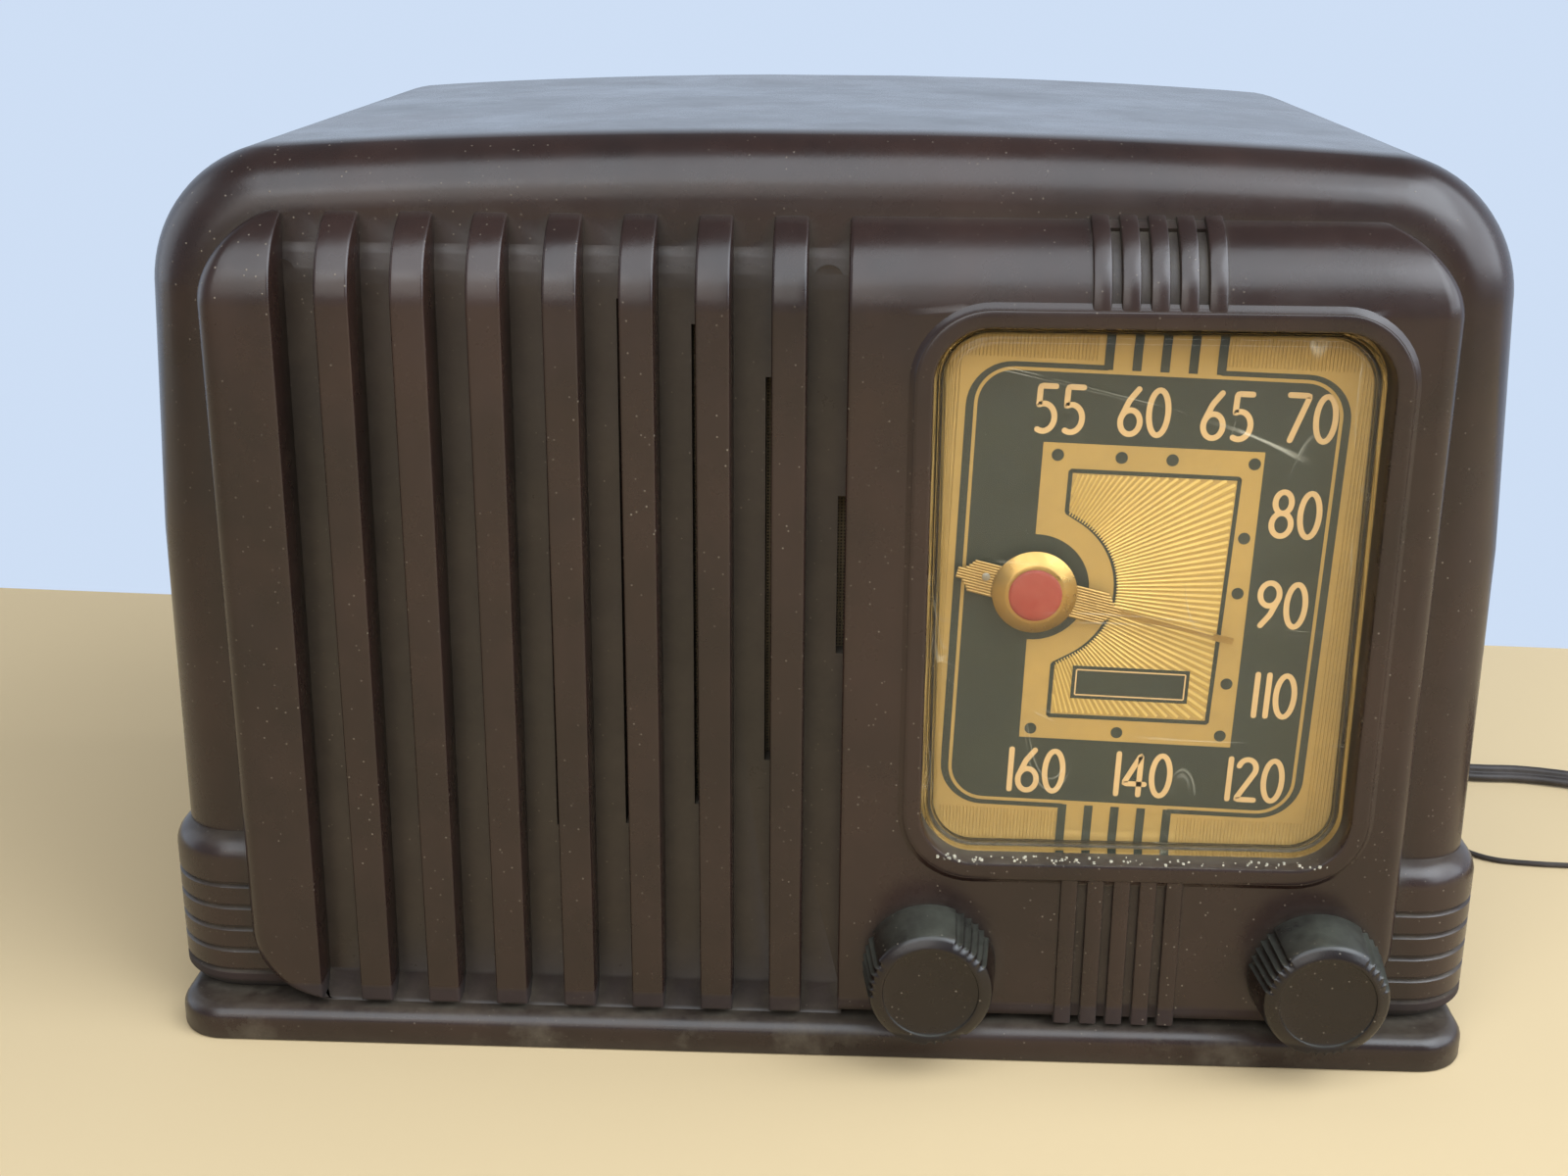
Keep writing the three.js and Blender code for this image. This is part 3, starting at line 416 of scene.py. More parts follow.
class Look:
    """A Principled material with short calls for the nodes that vary its surface."""

    def __init__(self, name, colour, roughness, metallic=0.0, **sockets):
        self.material = bpy.data.materials.new(name)
        self.material.use_nodes = True
        self.nodes = self.material.node_tree.nodes
        self.links = self.material.node_tree.links
        self.shader = self.nodes["Principled BSDF"]
        self.put("Base Color", colour)
        self.put("Roughness", roughness)
        self.put("Metallic", metallic)
        for socket, value in sockets.items():
            self.put(socket.replace("_", " "), value)
        self.coordinates = self.nodes.new("ShaderNodeTexCoord").outputs["Object"]

    def put(self, socket, value):
        self.join(value, self.shader.inputs[socket])

    def join(self, value, socket):
        """Links an output, or sets a plain value."""
        if isinstance(value, bpy.types.NodeSocket):
            self.links.new(value, socket)
        elif isinstance(value, (tuple, list)) and len(value) == 3 and socket.type == "RGBA":
            socket.default_value = (*value, 1)
        else:
            socket.default_value = value

    def node(self, kind, values, **settings):
        made = self.nodes.new(kind)
        for key, setting in settings.items():
            setattr(made, key, setting)
        for socket, value in values.items():
            self.join(value, made.inputs[socket])
        return made

    def stretched(self, x, y, z):
        return self.node("ShaderNodeMapping", {"Vector": self.coordinates, "Scale": (x, y, z)}).outputs[0]

    def noise(self, scale, detail=4.0, roughness=0.6, vector=None):
        """Noise with features about 1 / scale metres across."""
        values = {
            "Vector": vector or self.coordinates, "Scale": scale, "Detail": detail, "Roughness": roughness,
        }
        return self.node("ShaderNodeTexNoise", values).outputs["Fac"]

    def specks(self, scale, vector=None):
        values = {"Vector": vector or self.coordinates, "Scale": scale}
        return self.node("ShaderNodeTexVoronoi", values).outputs["Distance"]

    def ramp(self, factor, low, high, start=0.0, end=1.0):
        values = {
            "Value": factor, "From Min": low, "From Max": high, "To Min": start, "To Max": end,
        }
        return self.node("ShaderNodeMapRange", values, clamp=True).outputs["Result"]

    def maths(self, operation, a, b=0.0):
        made = self.node("ShaderNodeMath", {}, operation=operation)
        self.join(a, made.inputs[0])
        self.join(b, made.inputs[1])
        return made.outputs[0]

    def product(self, first, *others):
        for other in others:
            first = self.maths("MULTIPLY", first, other)
        return first

    def largest(self, first, *others):
        for other in others:
            first = self.maths("MAXIMUM", first, other)
        return first

    def blend(self, factor, a, b):
        made = self.node("ShaderNodeMix", {}, data_type="RGBA")
        self.join(factor, made.inputs[0])
        self.join(a, made.inputs[6])
        self.join(b, made.inputs[7])
        return made.outputs[2]

    def mixed(self, factor, a, b):
        """A mix of two surfaces."""
        return self.node("ShaderNodeMixShader", {0: factor, 1: a, 2: b}).outputs[0]

    def axis(self, letter):
        made = self.node("ShaderNodeSeparateXYZ", {"Vector": self.coordinates})
        return made.outputs[letter]

    def facing_up(self):
        """1 on level tops, 0 on walls and undersides."""
        geometry = self.node("ShaderNodeNewGeometry", {})
        return self.node("ShaderNodeSeparateXYZ", {"Vector": geometry.outputs["Normal"]}).outputs["Z"]

    def crevice(self, reach):
        """1 deep in corners, 0 in the open; reach is in millimetres."""
        made = self.node("ShaderNodeAmbientOcclusion", {"Distance": reach * MM}, samples=6)
        return self.maths("SUBTRACT", 1.0, made.outputs["AO"])

    def bump(self, *layers):
        """Each layer is (height, depth in millimetres)."""
        normal = None
        for height, depth in layers:
            values = {"Height": height, "Strength": 1.0, "Distance": depth * MM}
            if normal:
                values["Normal"] = normal
            normal = self.node("ShaderNodeBump", values).outputs["Normal"]
        self.put("Normal", normal)


# ---------------------------------------------------------------- materials


def bakelite(name, gloss, tone=1.0, powder_colour=(0.125, 0.106, 0.074), powder_share=1.0):
    """Dark brown phenolic: mottled, finely speckled, and dusty on its ledges and in its corners, with painted
    shade darkening its corners and a painted bluish sheen on its level top.
    """
    def brown(red, green, blue):
        return (red * tone, green * tone, blue * tone)

    look = Look(name, brown(0.05, 0.026, 0.02), gloss)
    clouds = look.noise(30, 6, 0.66)
    streaks = look.noise(7, 4, 0.6, look.stretched(2.4, 2.4, 0.6))
    base = look.blend(look.ramp(clouds, 0.36, 0.66), brown(0.02, 0.0105, 0.0085), brown(0.034, 0.0168, 0.013))
    base = look.blend(look.ramp(streaks, 0.48, 0.75, 0, 0.6), base, brown(0.054, 0.027, 0.02))
    # Painted shade: this ambient-occlusion mask darkens the brown deep in corners and recesses, where shade
    # falls; it also places packed dust and adds roughness.
    corner = look.ramp(look.crevice(6), 0.2, 0.7)
    base = look.blend(look.product(corner, 0.55), base, brown(0.012, 0.007, 0.006))
    patchy = look.ramp(look.noise(14, 3), 0.4, 0.66)
    speck = look.product(look.ramp(look.specks(420), 0.11, 0.06), patchy)
    base = look.blend(look.product(speck, 0.6), base, (0.24, 0.2, 0.15))

    upward = look.facing_up()
    height = look.axis("Z")
    # Painted sheen: a pale bluish tint on the level top stands in for the reflection of the pale wall behind.
    painted_top_sheen = look.product(look.ramp(upward, 0.93, 0.99), look.ramp(height, 0.19, 0.2, 0, 0.3))
    base = look.blend(painted_top_sheen, base, (0.34, 0.36, 0.385))

    film = look.noise(60, 6, 0.8)
    ledges = look.product(
        look.ramp(upward, 0.45, 0.98), look.ramp(height, 0.185, 0.03), look.ramp(film, 0.25, 0.7, 0, 0.45),
    )
    packed = look.product(
        corner, look.ramp(film, 0.3, 0.7, 0, 0.8), look.ramp(upward, -0.05, 0.5, 0.3, 1),
    )
    behind_bars = look.product(
        look.ramp(look.axis("Y"), place_one(0, 9.5, 0)[1], place_one(0, 11.5, 0)[1]),
        look.ramp(height, 0.1835, 0.1815),
        look.ramp(look.axis("X"), 0.008, 0.004),
        look.ramp(look.axis("X"), -0.119, -0.116),
        look.ramp(film, 0.2, 0.8, 0.02, 0.24),
    )
    scuffed = look.product(
        look.ramp(height, 0.015, 0.003), look.ramp(look.noise(38, 6, 0.7), 0.54, 0.7, 0, 0.5),
    )
    powder = look.product(look.largest(ledges, behind_bars, packed, scuffed), powder_share)
    look.put("Base Color", look.blend(powder, base, powder_colour))

    worn = look.ramp(look.noise(34, 5, 0.7), 0.3, 0.75, gloss - 0.05, gloss + 0.1)
    foot = look.product(look.ramp(height, 0.0145, 0.0135), look.ramp(height, 0.0086, 0.009))
    for share, amount in ((powder, 0.45), (corner, 0.25), (foot, 0.55)):
        worn = look.maths("ADD", worn, look.product(share, amount))
    look.put("Roughness", worn)
    look.bump((look.noise(60, 2, 0.5), 0.04), (look.noise(900, 2, 0.5), 0.015), (speck, 0.03))
    return look.material


def rubber(name, colour, roughness):
    look = Look(name, colour, roughness)
    wear = look.noise(60, 5, 0.7)
    light = tuple(min(1.0, c * 2.1 + 0.02) for c in colour)
    look.put("Base Color", look.blend(look.ramp(wear, 0.45, 0.8), colour, light))
    look.put("Roughness", look.ramp(wear, 0.3, 0.7, roughness - 0.12, roughness + 0.12))
    look.bump((look.noise(700, 3), 0.03), (look.noise(120, 3), 0.05))
    return look.material


def metal(name, colour, roughness, tarnish, amount=0.5, scale=60, grain=(1, 1, 1), metallic=1.0):
    """Metal with clouds of tarnish and fine tool marks along one direction."""
    look = Look(name, colour, roughness, metallic)
    clouds = look.noise(scale, 6, 0.7)
    marks = look.noise(500, 2, 0.5, look.stretched(*grain))
    stained = look.ramp(clouds, 0.4, 0.72, 0, amount)
    look.put("Base Color", look.blend(stained, colour, tarnish))
    rough = look.maths("ADD", look.ramp(marks, 0.3, 0.7, roughness - 0.07, roughness + 0.07),
                       look.maths("MULTIPLY", stained, 0.3))
    look.put("Roughness", rough)
    look.bump((marks, 0.012), (clouds, 0.03))
    return look.material


def paint(name, colour, fade, roughness=0.5, amount=0.6, scale=40):
    """A matt printed or moulded surface, faded in clouds."""
    look = Look(name, colour, roughness)
    clouds = look.noise(scale, 6, 0.65)
    look.put("Base Color", look.blend(look.ramp(clouds, 0.38, 0.75, 0, amount), colour, fade))
    look.put("Roughness", look.ramp(look.noise(150, 4), 0.3, 0.7, roughness - 0.08, roughness + 0.1))
    look.bump((look.noise(600, 3), 0.015))
    return look.material


def fibre_board(name, colour):
    """Pressed brown board with short fibres."""
    look = Look(name, colour, 0.85)
    fibres = look.noise(260, 5, 0.7, look.stretched(1, 1, 4))
    across = look.noise(220, 5, 0.7, look.stretched(5, 1, 1))
    patches = look.noise(22, 4)
    light = tuple(min(1.0, c * 1.7) for c in colour)
    dark = tuple(c * 0.55 for c in colour)
    tone = look.blend(look.ramp(fibres, 0.4, 0.7), colour, light)
    tone = look.blend(look.ramp(across, 0.52, 0.75, 0, 0.7), tone, dark)
    tone = look.blend(look.ramp(patches, 0.5, 0.8, 0, 0.4), tone, dark)
    look.put("Base Color", tone)
    look.bump((fibres, 0.06), (across, 0.06))
    return look.material


def weave(name, colour, gap_colour, pitch):
    """Plain-woven cloth on a plane that faces the front: pitch is the spacing of the threads in mm."""
    look = Look(name, colour, 0.95, Sheen_Weight=0.25)
    turns = 2 * math.pi / (pitch * MM)
    waves = [look.maths("SINE", look.product(look.axis(letter), turns)) for letter in "ZX"]
    height = look.largest(*[look.maths("ABSOLUTE", wave) for wave in waves])
    dusty = look.blend(look.ramp(look.noise(35, 5), 0.35, 0.75), colour, tuple(c * 1.8 for c in colour))
    look.put("Base Color", look.blend(look.ramp(height, 0.55, 0.9), gap_colour, dusty))
    look.bump((height, 0.15))
    return look.material


WINDOW_IOR = 1.32  # below that of glass, so that the dial shows through few reflections


def window_glass(name, tint, roughness, haze=0.0):
    """Clear moulded glass or plastic that lets lamps through, hazed by fine scratches and dust."""
    look = Look(name, tint, roughness, Transmission_Weight=1.0, IOR=WINDOW_IOR)
    clear = look.node("ShaderNodeBsdfTransparent", {"Color": (*tint, 1)})
    surface = look.shader.outputs[0]
    if haze:
        hairs = []
        for scale, stretch in ((16, (1, 1, 0.3)), (13, (0.35, 1, 1.4)), (20, (1.3, 1, 0.6))):
            field = look.noise(scale, 1, 0.4, look.stretched(*stretch))
            off_centre = look.maths("ABSOLUTE", look.maths("SUBTRACT", field, 0.5))
            hairs.append(look.ramp(off_centre, 0.0016, 0.0002))
        hair = look.product(look.largest(*hairs), look.ramp(look.noise(45, 3), 0.5, 0.62))
        dust = look.product(look.ramp(look.specks(560), 0.09, 0.05), look.ramp(look.noise(60, 3), 0.5, 0.7))
        veil = look.ramp(look.noise(18, 4), 0.35, 0.75, haze * 0.5, haze)
        amount = look.maths("ADD", veil, look.product(look.largest(hair, dust), 0.22))
        film = look.node("ShaderNodeBsdfDiffuse", {"Color": (0.74, 0.7, 0.56, 1)})
        surface = look.mixed(amount, surface, film.outputs[0])
    shadow = look.node("ShaderNodeLightPath", {}).outputs["Is Shadow Ray"]
    surface = look.mixed(shadow, surface, clear.outputs[0])
    look.links.new(surface, look.nodes["Material Output"].inputs["Surface"])
    return look.material


BAKELITE = bakelite("bakelite", 0.26, 0.7)
KNOB_BAKELITE = bakelite("knob_bakelite", 0.25, 0.25, (0.12, 0.13, 0.098), 0.9)
GOLD_PRINT = metal("gold_print", (0.45, 0.29, 0.095), 0.42, (0.3, 0.195, 0.07), 0.5, 30, metallic=0.55)
SUN_GOLD = metal("sun_gold", (0.6, 0.41, 0.13), 0.4, (0.46, 0.3, 0.1), 0.4, 30, metallic=0.7)
GOLD_METAL = metal("gold_metal", (0.38, 0.245, 0.09), 0.36, (0.3, 0.18, 0.07), 0.55, 90, (1, 1, 8))
HUB_GOLD = metal("hub_gold", (0.48, 0.3, 0.1), 0.3, (0.4, 0.24, 0.09), 0.45, 130)
NUMERAL_PRINT = paint("numeral_print", (0.56, 0.36, 0.165), (0.42, 0.26, 0.12), 0.55)
DARK_PRINT = paint("dark_print", (0.007, 0.012, 0.009), (0.026, 0.033, 0.022), 0.45, 0.5, 25)
JEWEL_RED = paint("jewel_red", (0.23, 0.02, 0.012), (0.3, 0.06, 0.04), 0.45, 0.6, 200)
LENS_CLEAR = window_glass("lens_clear", (0.97, 0.955, 0.9), 0.025, 0.008)
VALVE_CLEAR = window_glass("valve_clear", (0.93, 0.95, 0.94), 0.02)
CLOTH = weave("grille_weave", (0.14, 0.105, 0.06), (0.02, 0.015, 0.01), 1.5)
CONE_PAPER = fibre_board("cone_paper", (0.028, 0.024, 0.02))
BOARD = fibre_board("pressed_board", (0.12, 0.068, 0.036))
STEEL = metal("dull_steel", (0.42, 0.42, 0.4), 0.42, (0.2, 0.17, 0.13), 0.7, 40)
PLATING = metal("chassis_plating", (0.5, 0.5, 0.46), 0.45, (0.24, 0.2, 0.14), 0.8, 22)
SCREW_STEEL = metal("screw_steel", (0.38, 0.37, 0.35), 0.36, (0.16, 0.1, 0.06), 0.6, 220)
ALUMINIUM = metal("spun_aluminium", (0.68, 0.69, 0.68), 0.34, (0.4, 0.39, 0.37), 0.6, 45, (6, 6, 1))
BRASS = metal("turned_brass", (0.62, 0.44, 0.18), 0.33, (0.26, 0.17, 0.08), 0.6, 150, (1, 8, 1))
IRON = metal("laminations", (0.09, 0.088, 0.085), 0.5, (0.14, 0.085, 0.05), 0.6, 70, (1, 1, 12))
DARK_PHENOLIC = paint("dark_phenolic", (0.025, 0.017, 0.013), (0.06, 0.045, 0.035), 0.4, 0.6, 70)
WAX_PAPER = paint("waxed_paper", (0.55, 0.4, 0.19), (0.36, 0.24, 0.1), 0.4, 0.8, 60)
TAG_BOARD = fibre_board("tag_board", (0.3, 0.17, 0.07))
WIRE_ENAMEL = paint("wire_enamel", (0.2, 0.055, 0.02), (0.3, 0.12, 0.05), 0.35, 0.5, 90)
COTTON_GREEN = paint("cotton_cover", (0.1, 0.13, 0.06), (0.2, 0.2, 0.1), 0.9, 0.6, 300)
FLEX_RUBBER = rubber("mains_rubber", (0.022, 0.016, 0.013), 0.55)
LEAD_COTTON = rubber("lead_cover", (0.02, 0.015, 0.012), 0.8)
PLASTER = paint("plaster", (0.5, 0.47, 0.38), (0.3, 0.28, 0.2), 0.95, 0.7, 500)
THREAD = paint("dial_thread", (0.4, 0.33, 0.2), (0.24, 0.18, 0.1), 0.9, 0.6, 400)


# ---------------------------------------------------------------- cords

MAINS_WIDTH = 5.4
MAINS_COIL = (290, 129.2)
MAINS_COLUMNS = (31, 25)  # radii of the outer and the inner turns
MAINS_LAST = 28  # radius at which the cord leaves the coil for the plug
MAINS_LAYER = 2.75
PLUG_AXIS_Z = 12.9
MAINS_ROUTE = [
    (95, 214.3, 24), (95, 222, 23.4), (96.5, 232, 20.6), (101, 242, 15), (109.5, 249.5, 8.8),
    (120.5, 253.5, 4.4), (133, 253.5, 2.7), (145, 248, 2.7), (154.5, 238, 2.7), (161, 225, 2.7),
    (165.5, 211, 2.7), (170.5, 197, 2.7), (178.5, 184.5, 2.7), (190, 176, 2.7), (203, 172.4, 2.7),
    (218, 171.9, 2.7), (232, 168.6, 2.7), (246, 163.8, 2.7), (257, 161, 2.7), (266, 160.2, 2.7),
]
LEAD_DIAMETER = 1.5
LEAD_COIL = (248, 100.6)
LEAD_COLUMNS = (9.4, 7.85, 6.3)
LEAD_LAYER = 1.55
LEAD_ROUTE = [
    (120, 189.9, 24), (120, 196, 23), (121, 204, 18.4), (124.5, 211, 10.6), (130.5, 214.6, 3.8),
    (138.5, 213, 1.1), (147, 206.5, 0.9), (155, 197, 0.9), (162, 184, 0.9), (167, 169, 0.9),
    (171.5, 152, 0.9), (177.5, 134, 0.9), (184, 121, 0.9), (191.5, 113.6, 0.9), (202, 111.2, 0.9),
    (212.5, 110.4, 0.9), (223, 110, 0.9), (234, 110, 0.9), (240, 110, 0.9),
]


def wound(centre, turns, lowest, layer, start, last_radius, last_angle, steps=36):
    """A neat clockwise coil from its top point: each turn is (radius, layer number).

    Near the end of a turn the cord first climbs to the next turn's layer, then moves to its radius.
    """
    points = []
    angles = np.arange(1, steps + 1) * 360 / steps
    coming = list(turns[1:]) + [(last_radius, turns[-1][1] + 1)]
    for (radius, level), (next_radius, next_level) in zip(turns, coming):
        out = np.interp(angles, [0, 325, 358], [radius, radius, next_radius])
        height = lowest + layer * np.interp(angles, [0, 290, 325], [level, level, next_level])
        turn = np.radians(90 - angles)
        points.append(np.column_stack((out * np.cos(turn), out * np.sin(turn), height)))
    rest = np.radians(90 - np.arange(1, round(last_angle * steps / 360) + 1) * 360 / steps)
    top = np.full(len(rest), lowest + layer * (turns[-1][1] + 1))
    points.append(np.column_stack((last_radius * np.cos(rest), last_radius * np.sin(rest), top)))
    coil = np.vstack(points)
    settle = np.linspace(1, 0, steps // 4)
    coil[:len(settle), 2] += settle * (start - lowest)
    coil[:, 0] += centre[0]
    coil[:, 1] += centre[1]
    return coil


def twin_section(width):
    """Two round conductors side by side, as the section of a zip cord."""
    radius = width / 4
    right = arc(radius, 0, radius, -150, 150, 10)
    left = arc(-radius, 0, radius, 30, 330, 10)
    return np.vstack((right, left))


def lathe_x(y, z, profile, sides=48):
    """A turned solid about a line along X: profile is (radius, x)."""
    upright = lathe_z(0, 0, profile, sides)
    points = np.column_stack((upright.points[:, 2], upright.points[:, 1] + y, upright.points[:, 0] + z))
    return Solid(points, upright.faces).outward()


def fitted(name, solid, look, material_slot, nodes=(), body="radio", sharp=35):
    """A piece that rides on a body, in place of the CAD nodes named."""
    piece = make_object(name, solid, look, sharp)
    return settled(piece, material_slot, nodes, body)


def carved(name, solid, steps, look, material_slot, nodes=(), body="radio", sharp=35):
    """Like fitted, with solids joined to it or cut from it."""
    piece = sculpt(name, solid, steps, sharp)
    piece.data.materials.clear()
    piece.data.materials.append(look)
    return settled(piece, material_slot, nodes, body)


def settled(piece, material_slot, nodes, body):
    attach(piece, body)
    if nodes:
        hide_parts(*nodes)
    return piece


def strain_relief():
    """A rubber bush in the rear cover with a ribbed sleeve behind it."""
    x, _, z = middle_of("cord_strain_relief")
    profile = [
        (0, 183.2), (6.2, 183.2), (6.6, 183.6), (6.6, 185.4), (6.3, 185.7), (4.8, 185.8), (4.8, 188.6),
        (6.3, 188.7), (6.6, 189.0), (6.6, 190.2), (6.2, 190.6), (4.9, 191.4),
    ]
    for n in range(6):
        y = 193.2 + 3.3 * n
        radius = 5 - (y - 191) * 1.8 / 23
        profile += [
            (radius, y), (radius - 0.7, y + 0.3), (radius - 0.75, y + 1.3), (radius - 0.1, y + 1.6),
        ]
    profile += [(3.1, 213.3), (2.8, 214), (0, 214)]
    return fitted("strain_relief_sleeve", lathe_y(x, z, profile, 40), FLEX_RUBBER, "brown_rubber",
                  ["cord_strain_relief"], sharp=28)


def plug():
    """A moulded two-blade plug with a ringed neck and a milled grip."""
    x, _, z = middle_of("plug_body")
    face, back = (corner[1] for corner in node_box("plug_body"))
    sides = 120
    profile = [(3.6, back), (4.0, back - 0.4)]
    for n in range(3):
        y = back - 1.2 - 1.7 * n
        radius = 4.3 + 0.55 * n
        profile += [
            (radius, y), (radius - 0.5, y - 0.4), (radius - 0.5, y - 0.9), (radius + 0.2, y - 1.2),
        ]
    profile += [(6.4, back - 9), (8.4, back - 11.2), (10.9, back - 14.4), (12.1, back - 16.6)]
    grip_start = len(profile)
    profile += [(12.4, back - 18), (12.5, face + 6), (12.55, face + 3.4)]
    grip_end = len(profile)
    profile += [(12.6, face + 2.6), (12.5, face + 0.8), (12.0, face + 0.1), (9.5, face), (9.2, face + 0.5)]
    turn = np.radians(np.arange(sides) * 360 / sides)
    milling = 0.3 * (np.arange(sides) % 4 < 2)
    rings = []
    for number, (radius, y) in enumerate(profile):
        milled = grip_start <= number < grip_end
        r = radius - milling * milled
        rings.append(np.column_stack((x + r * np.cos(turn), np.full(sides, y), z + r * np.sin(turn))))
    body = fitted("plug_moulding", loft(rings), DARK_PHENOLIC, "dark_phenolic", ["plug_body"], sharp=28)
    blades = []
    for side in ("left", "right"):
        node = f"plug_blade_{side}"
        low, high = node_box(node)
        outline = rounded_box(low[1], high[1], low[2], high[2], 1.6, 5)
        hole = circle(low[1] + 4, (low[2] + high[2]) / 2, 1.55, 20)
        steps = [("DIFFERENCE", prism_x(hole, low[0] - 1, high[0] + 1))]
        blades.append(carved(f"plug_contact_{side}", prism_x(outline, low[0], high[0]), steps, BRASS,
                             "plug_brass", [node]))
    return [body, *blades]


def declare_cord(name, solid, path, look, material_slot, nodes, pieces):
    cord = fitted(name, solid, look, material_slot, nodes, sharp=60)
    place(path[:1])[0]
    place(path).tolist()


def mains_cord():
    outer, inner = MAINS_COLUMNS
    turns = [
        (outer, 0), (inner, 0), (inner, 1), (outer, 1), (outer, 2), (inner, 2), (inner, 3), (outer, 3),
    ]
    free = smooth_route(MAINS_ROUTE, 2.5)
    coil = wound(MAINS_COIL, turns, 1.65, MAINS_LAYER, 2.7, MAINS_LAST, 90)
    plug_back = node_box("plug_body")[1][1]
    tail_y = np.linspace(MAINS_COIL[1], plug_back - 0.3, 8)[1:]
    tail_z = np.linspace(PLUG_AXIS_Z - 0.2, PLUG_AXIS_Z, 7)
    tail = np.column_stack((np.full(7, MAINS_COIL[0] + float(MAINS_LAST)), tail_y, tail_z))
    path = smooth_route(np.vstack((free[:-1:3], free[-1:], coil[::3], tail[::3], tail[-1:])), 2.0)
    gone = np.concatenate(([0], np.cumsum(np.linalg.norm(np.diff(path, axis=0), axis=1))))
    rolls = np.interp(gone, [0, 25, 70, 200, 300], [-90, -80, -52, -50, 0])
    solid = sweep(path, twin_section(MAINS_WIDTH), rolls)
    declare_cord(
        "mains_cord", solid, path, FLEX_RUBBER, "brown_rubber",
        ["power_cord", "power_cord_coil"], [strain_relief(), *plug()],
    )


def antenna_wire():
    outer, middle, inner = LEAD_COLUMNS
    turns = [(outer, 0), (middle, 0), (inner, 0), (inner, 1), (middle, 1), (outer, 1)]
    free = smooth_route(LEAD_ROUTE, 2.0)
    coil = wound(LEAD_COIL, turns, 0.85, LEAD_LAYER, 0.9, middle, 60, steps=24)
    path = smooth_route(np.vstack((free[::2], coil[::2], coil[-1:])), 1.2)
    bare_end = 8
    solid = sweep(path[:-bare_end], circle(0, 0, LEAD_DIAMETER / 2, 10))
    tip = sweep(path[-bare_end - 1:], circle(0, 0, 0.4, 8))
    copper = fitted("antenna_lead_bare_end", tip, BRASS, "plug_brass")
    declare_cord(
        "antenna_wire", solid, path, LEAD_COTTON, "lead_insulation",
        ["antenna_lead", "antenna_lead_coil"], [copper],
    )


mains_cord()
antenna_wire()


# ---------------------------------------------------------------- cabinet

WALL = 3.5
PLINTH_HALF = 152.5
PLINTH_TOP = 8.4
PLINTH_CORNER = 12
PLINTH_EDGE = 3.5
PLINTH_FLOOR = 4.6
RIM_INSIDE = 148.5  # half the width of the hollow under the plinth
RIM_Y = (4, 186)
SHELL_SIDE = 152
SHELL_CORNER = (117.5, 174.7, 32)
CROWN_HEIGHT = 210.4
CROWN_RADIUS = 1890
FRONT_FILLET = 14
FRONT_TOP = 183
FRONT_Y_AT_TOP = 15.5
FRONT_LEAN = 3.3 / 175
REAR_GROWTH = 1.0145
FACE_Y = 2.6
PANEL_HALF = 133
PANEL_BOTTOM = 10.1
PANEL_CORNER = 20
PANEL_WALL = 3.6
CURL_Z = 174.5
CURL_RADIUS = 20
CURL_END = 76  # degrees that the raised front turns back before it is lost in the shell
SLAT_FIRST = -107.1
SLAT_PITCH = 16.08
SLAT_WIDTH = 7.4
SLAT_COUNT = 7
LEFT_BAR_RIGHT = -116.4
RIGHT_PANEL_LEFT = 5.4
SPEAKER = (-54.7, 114.5)
SPEAKER_RADIUS = 62
WINDOW = (71.5, 111.3)
WINDOW_HALF = (47.9, 60.9)
WINDOW_CORNER = 12
COLLAR_WALL = 2.2
RIB_FIRST = 57.75
RIB_PITCH = 5.95
RIB_WIDTH = 3.9
RIB_COUNT = 5
KNOB_Z = 24.5
KNOB_XS = {"volume_knob": 26.4, "tuning_knob": 114.7}
POST_X = 141
POST_ZS = (35, 160)
POST_HALF = 5
POST_Y = (165, 185.7)
CHASSIS_BOLTS = [(x, y) for x in (-120, 120) for y in (40, 150)]
DIAL_POSTS = [(15.2, 60), (15.2, 165), (125.9, 60), (125.9, 165)]
BAFFLE_POSTS = [(-117, 48.5), (-117, 180), (1, 48.5), (1, 180)]
SLAT_LEFTS = [SLAT_FIRST + SLAT_PITCH * n for n in range(SLAT_COUNT)]


def front_plane(z):
    """The shell's front leans back by FRONT_LEAN from FRONT_Y_AT_TOP."""
    return FRONT_Y_AT_TOP + FRONT_LEAN * (z - FRONT_TOP)


def shell_outline(inset, bottom):
    """The cabinet seen from the front, drawn in by an inset: side, corner, crown and back down."""
    x, z, radius = SHELL_CORNER
    side = np.array([(SHELL_SIDE - inset, bottom), (SHELL_SIDE - inset, 60), (SHELL_SIDE - inset, 120)])
    corner = arc(x, z, radius - inset, 0, 82, 20)
    xs = np.array([112, 100, 85, 70, 55, 38, 20])
    crown = np.column_stack((xs, CROWN_HEIGHT - xs ** 2 / (2 * CROWN_RADIUS) - inset))
    right = np.vstack((side, corner, crown))
    left = right[::-1] * (-1, 1)
    return np.vstack((right, left))


def shell_body(inset, bottom, rear_y, steps):
    fillet = FRONT_FILLET - inset
    rings = []
    for angle in np.radians(np.linspace(0, 90, steps + 1)):
        outline = shell_outline(inset + fillet * (1 - math.sin(angle)), bottom)
        ring = at_y(outline, 0)
        ring[:, 1] = front_plane(outline[:, 1]) + inset + fillet * (1 - math.cos(angle))
        rings.append(ring)
    for share in (0.35, 0.7, 1):
        growth = 1 + (REAR_GROWTH - 1) * share
        rear = shell_outline(inset, bottom / growth)
        ring = at_y(rear * (1, growth), 0)
        ring[:, 1] = rings[steps][:, 1] * (1 - share) + rear_y * share
        rings.append(ring)
    return loft(rings)


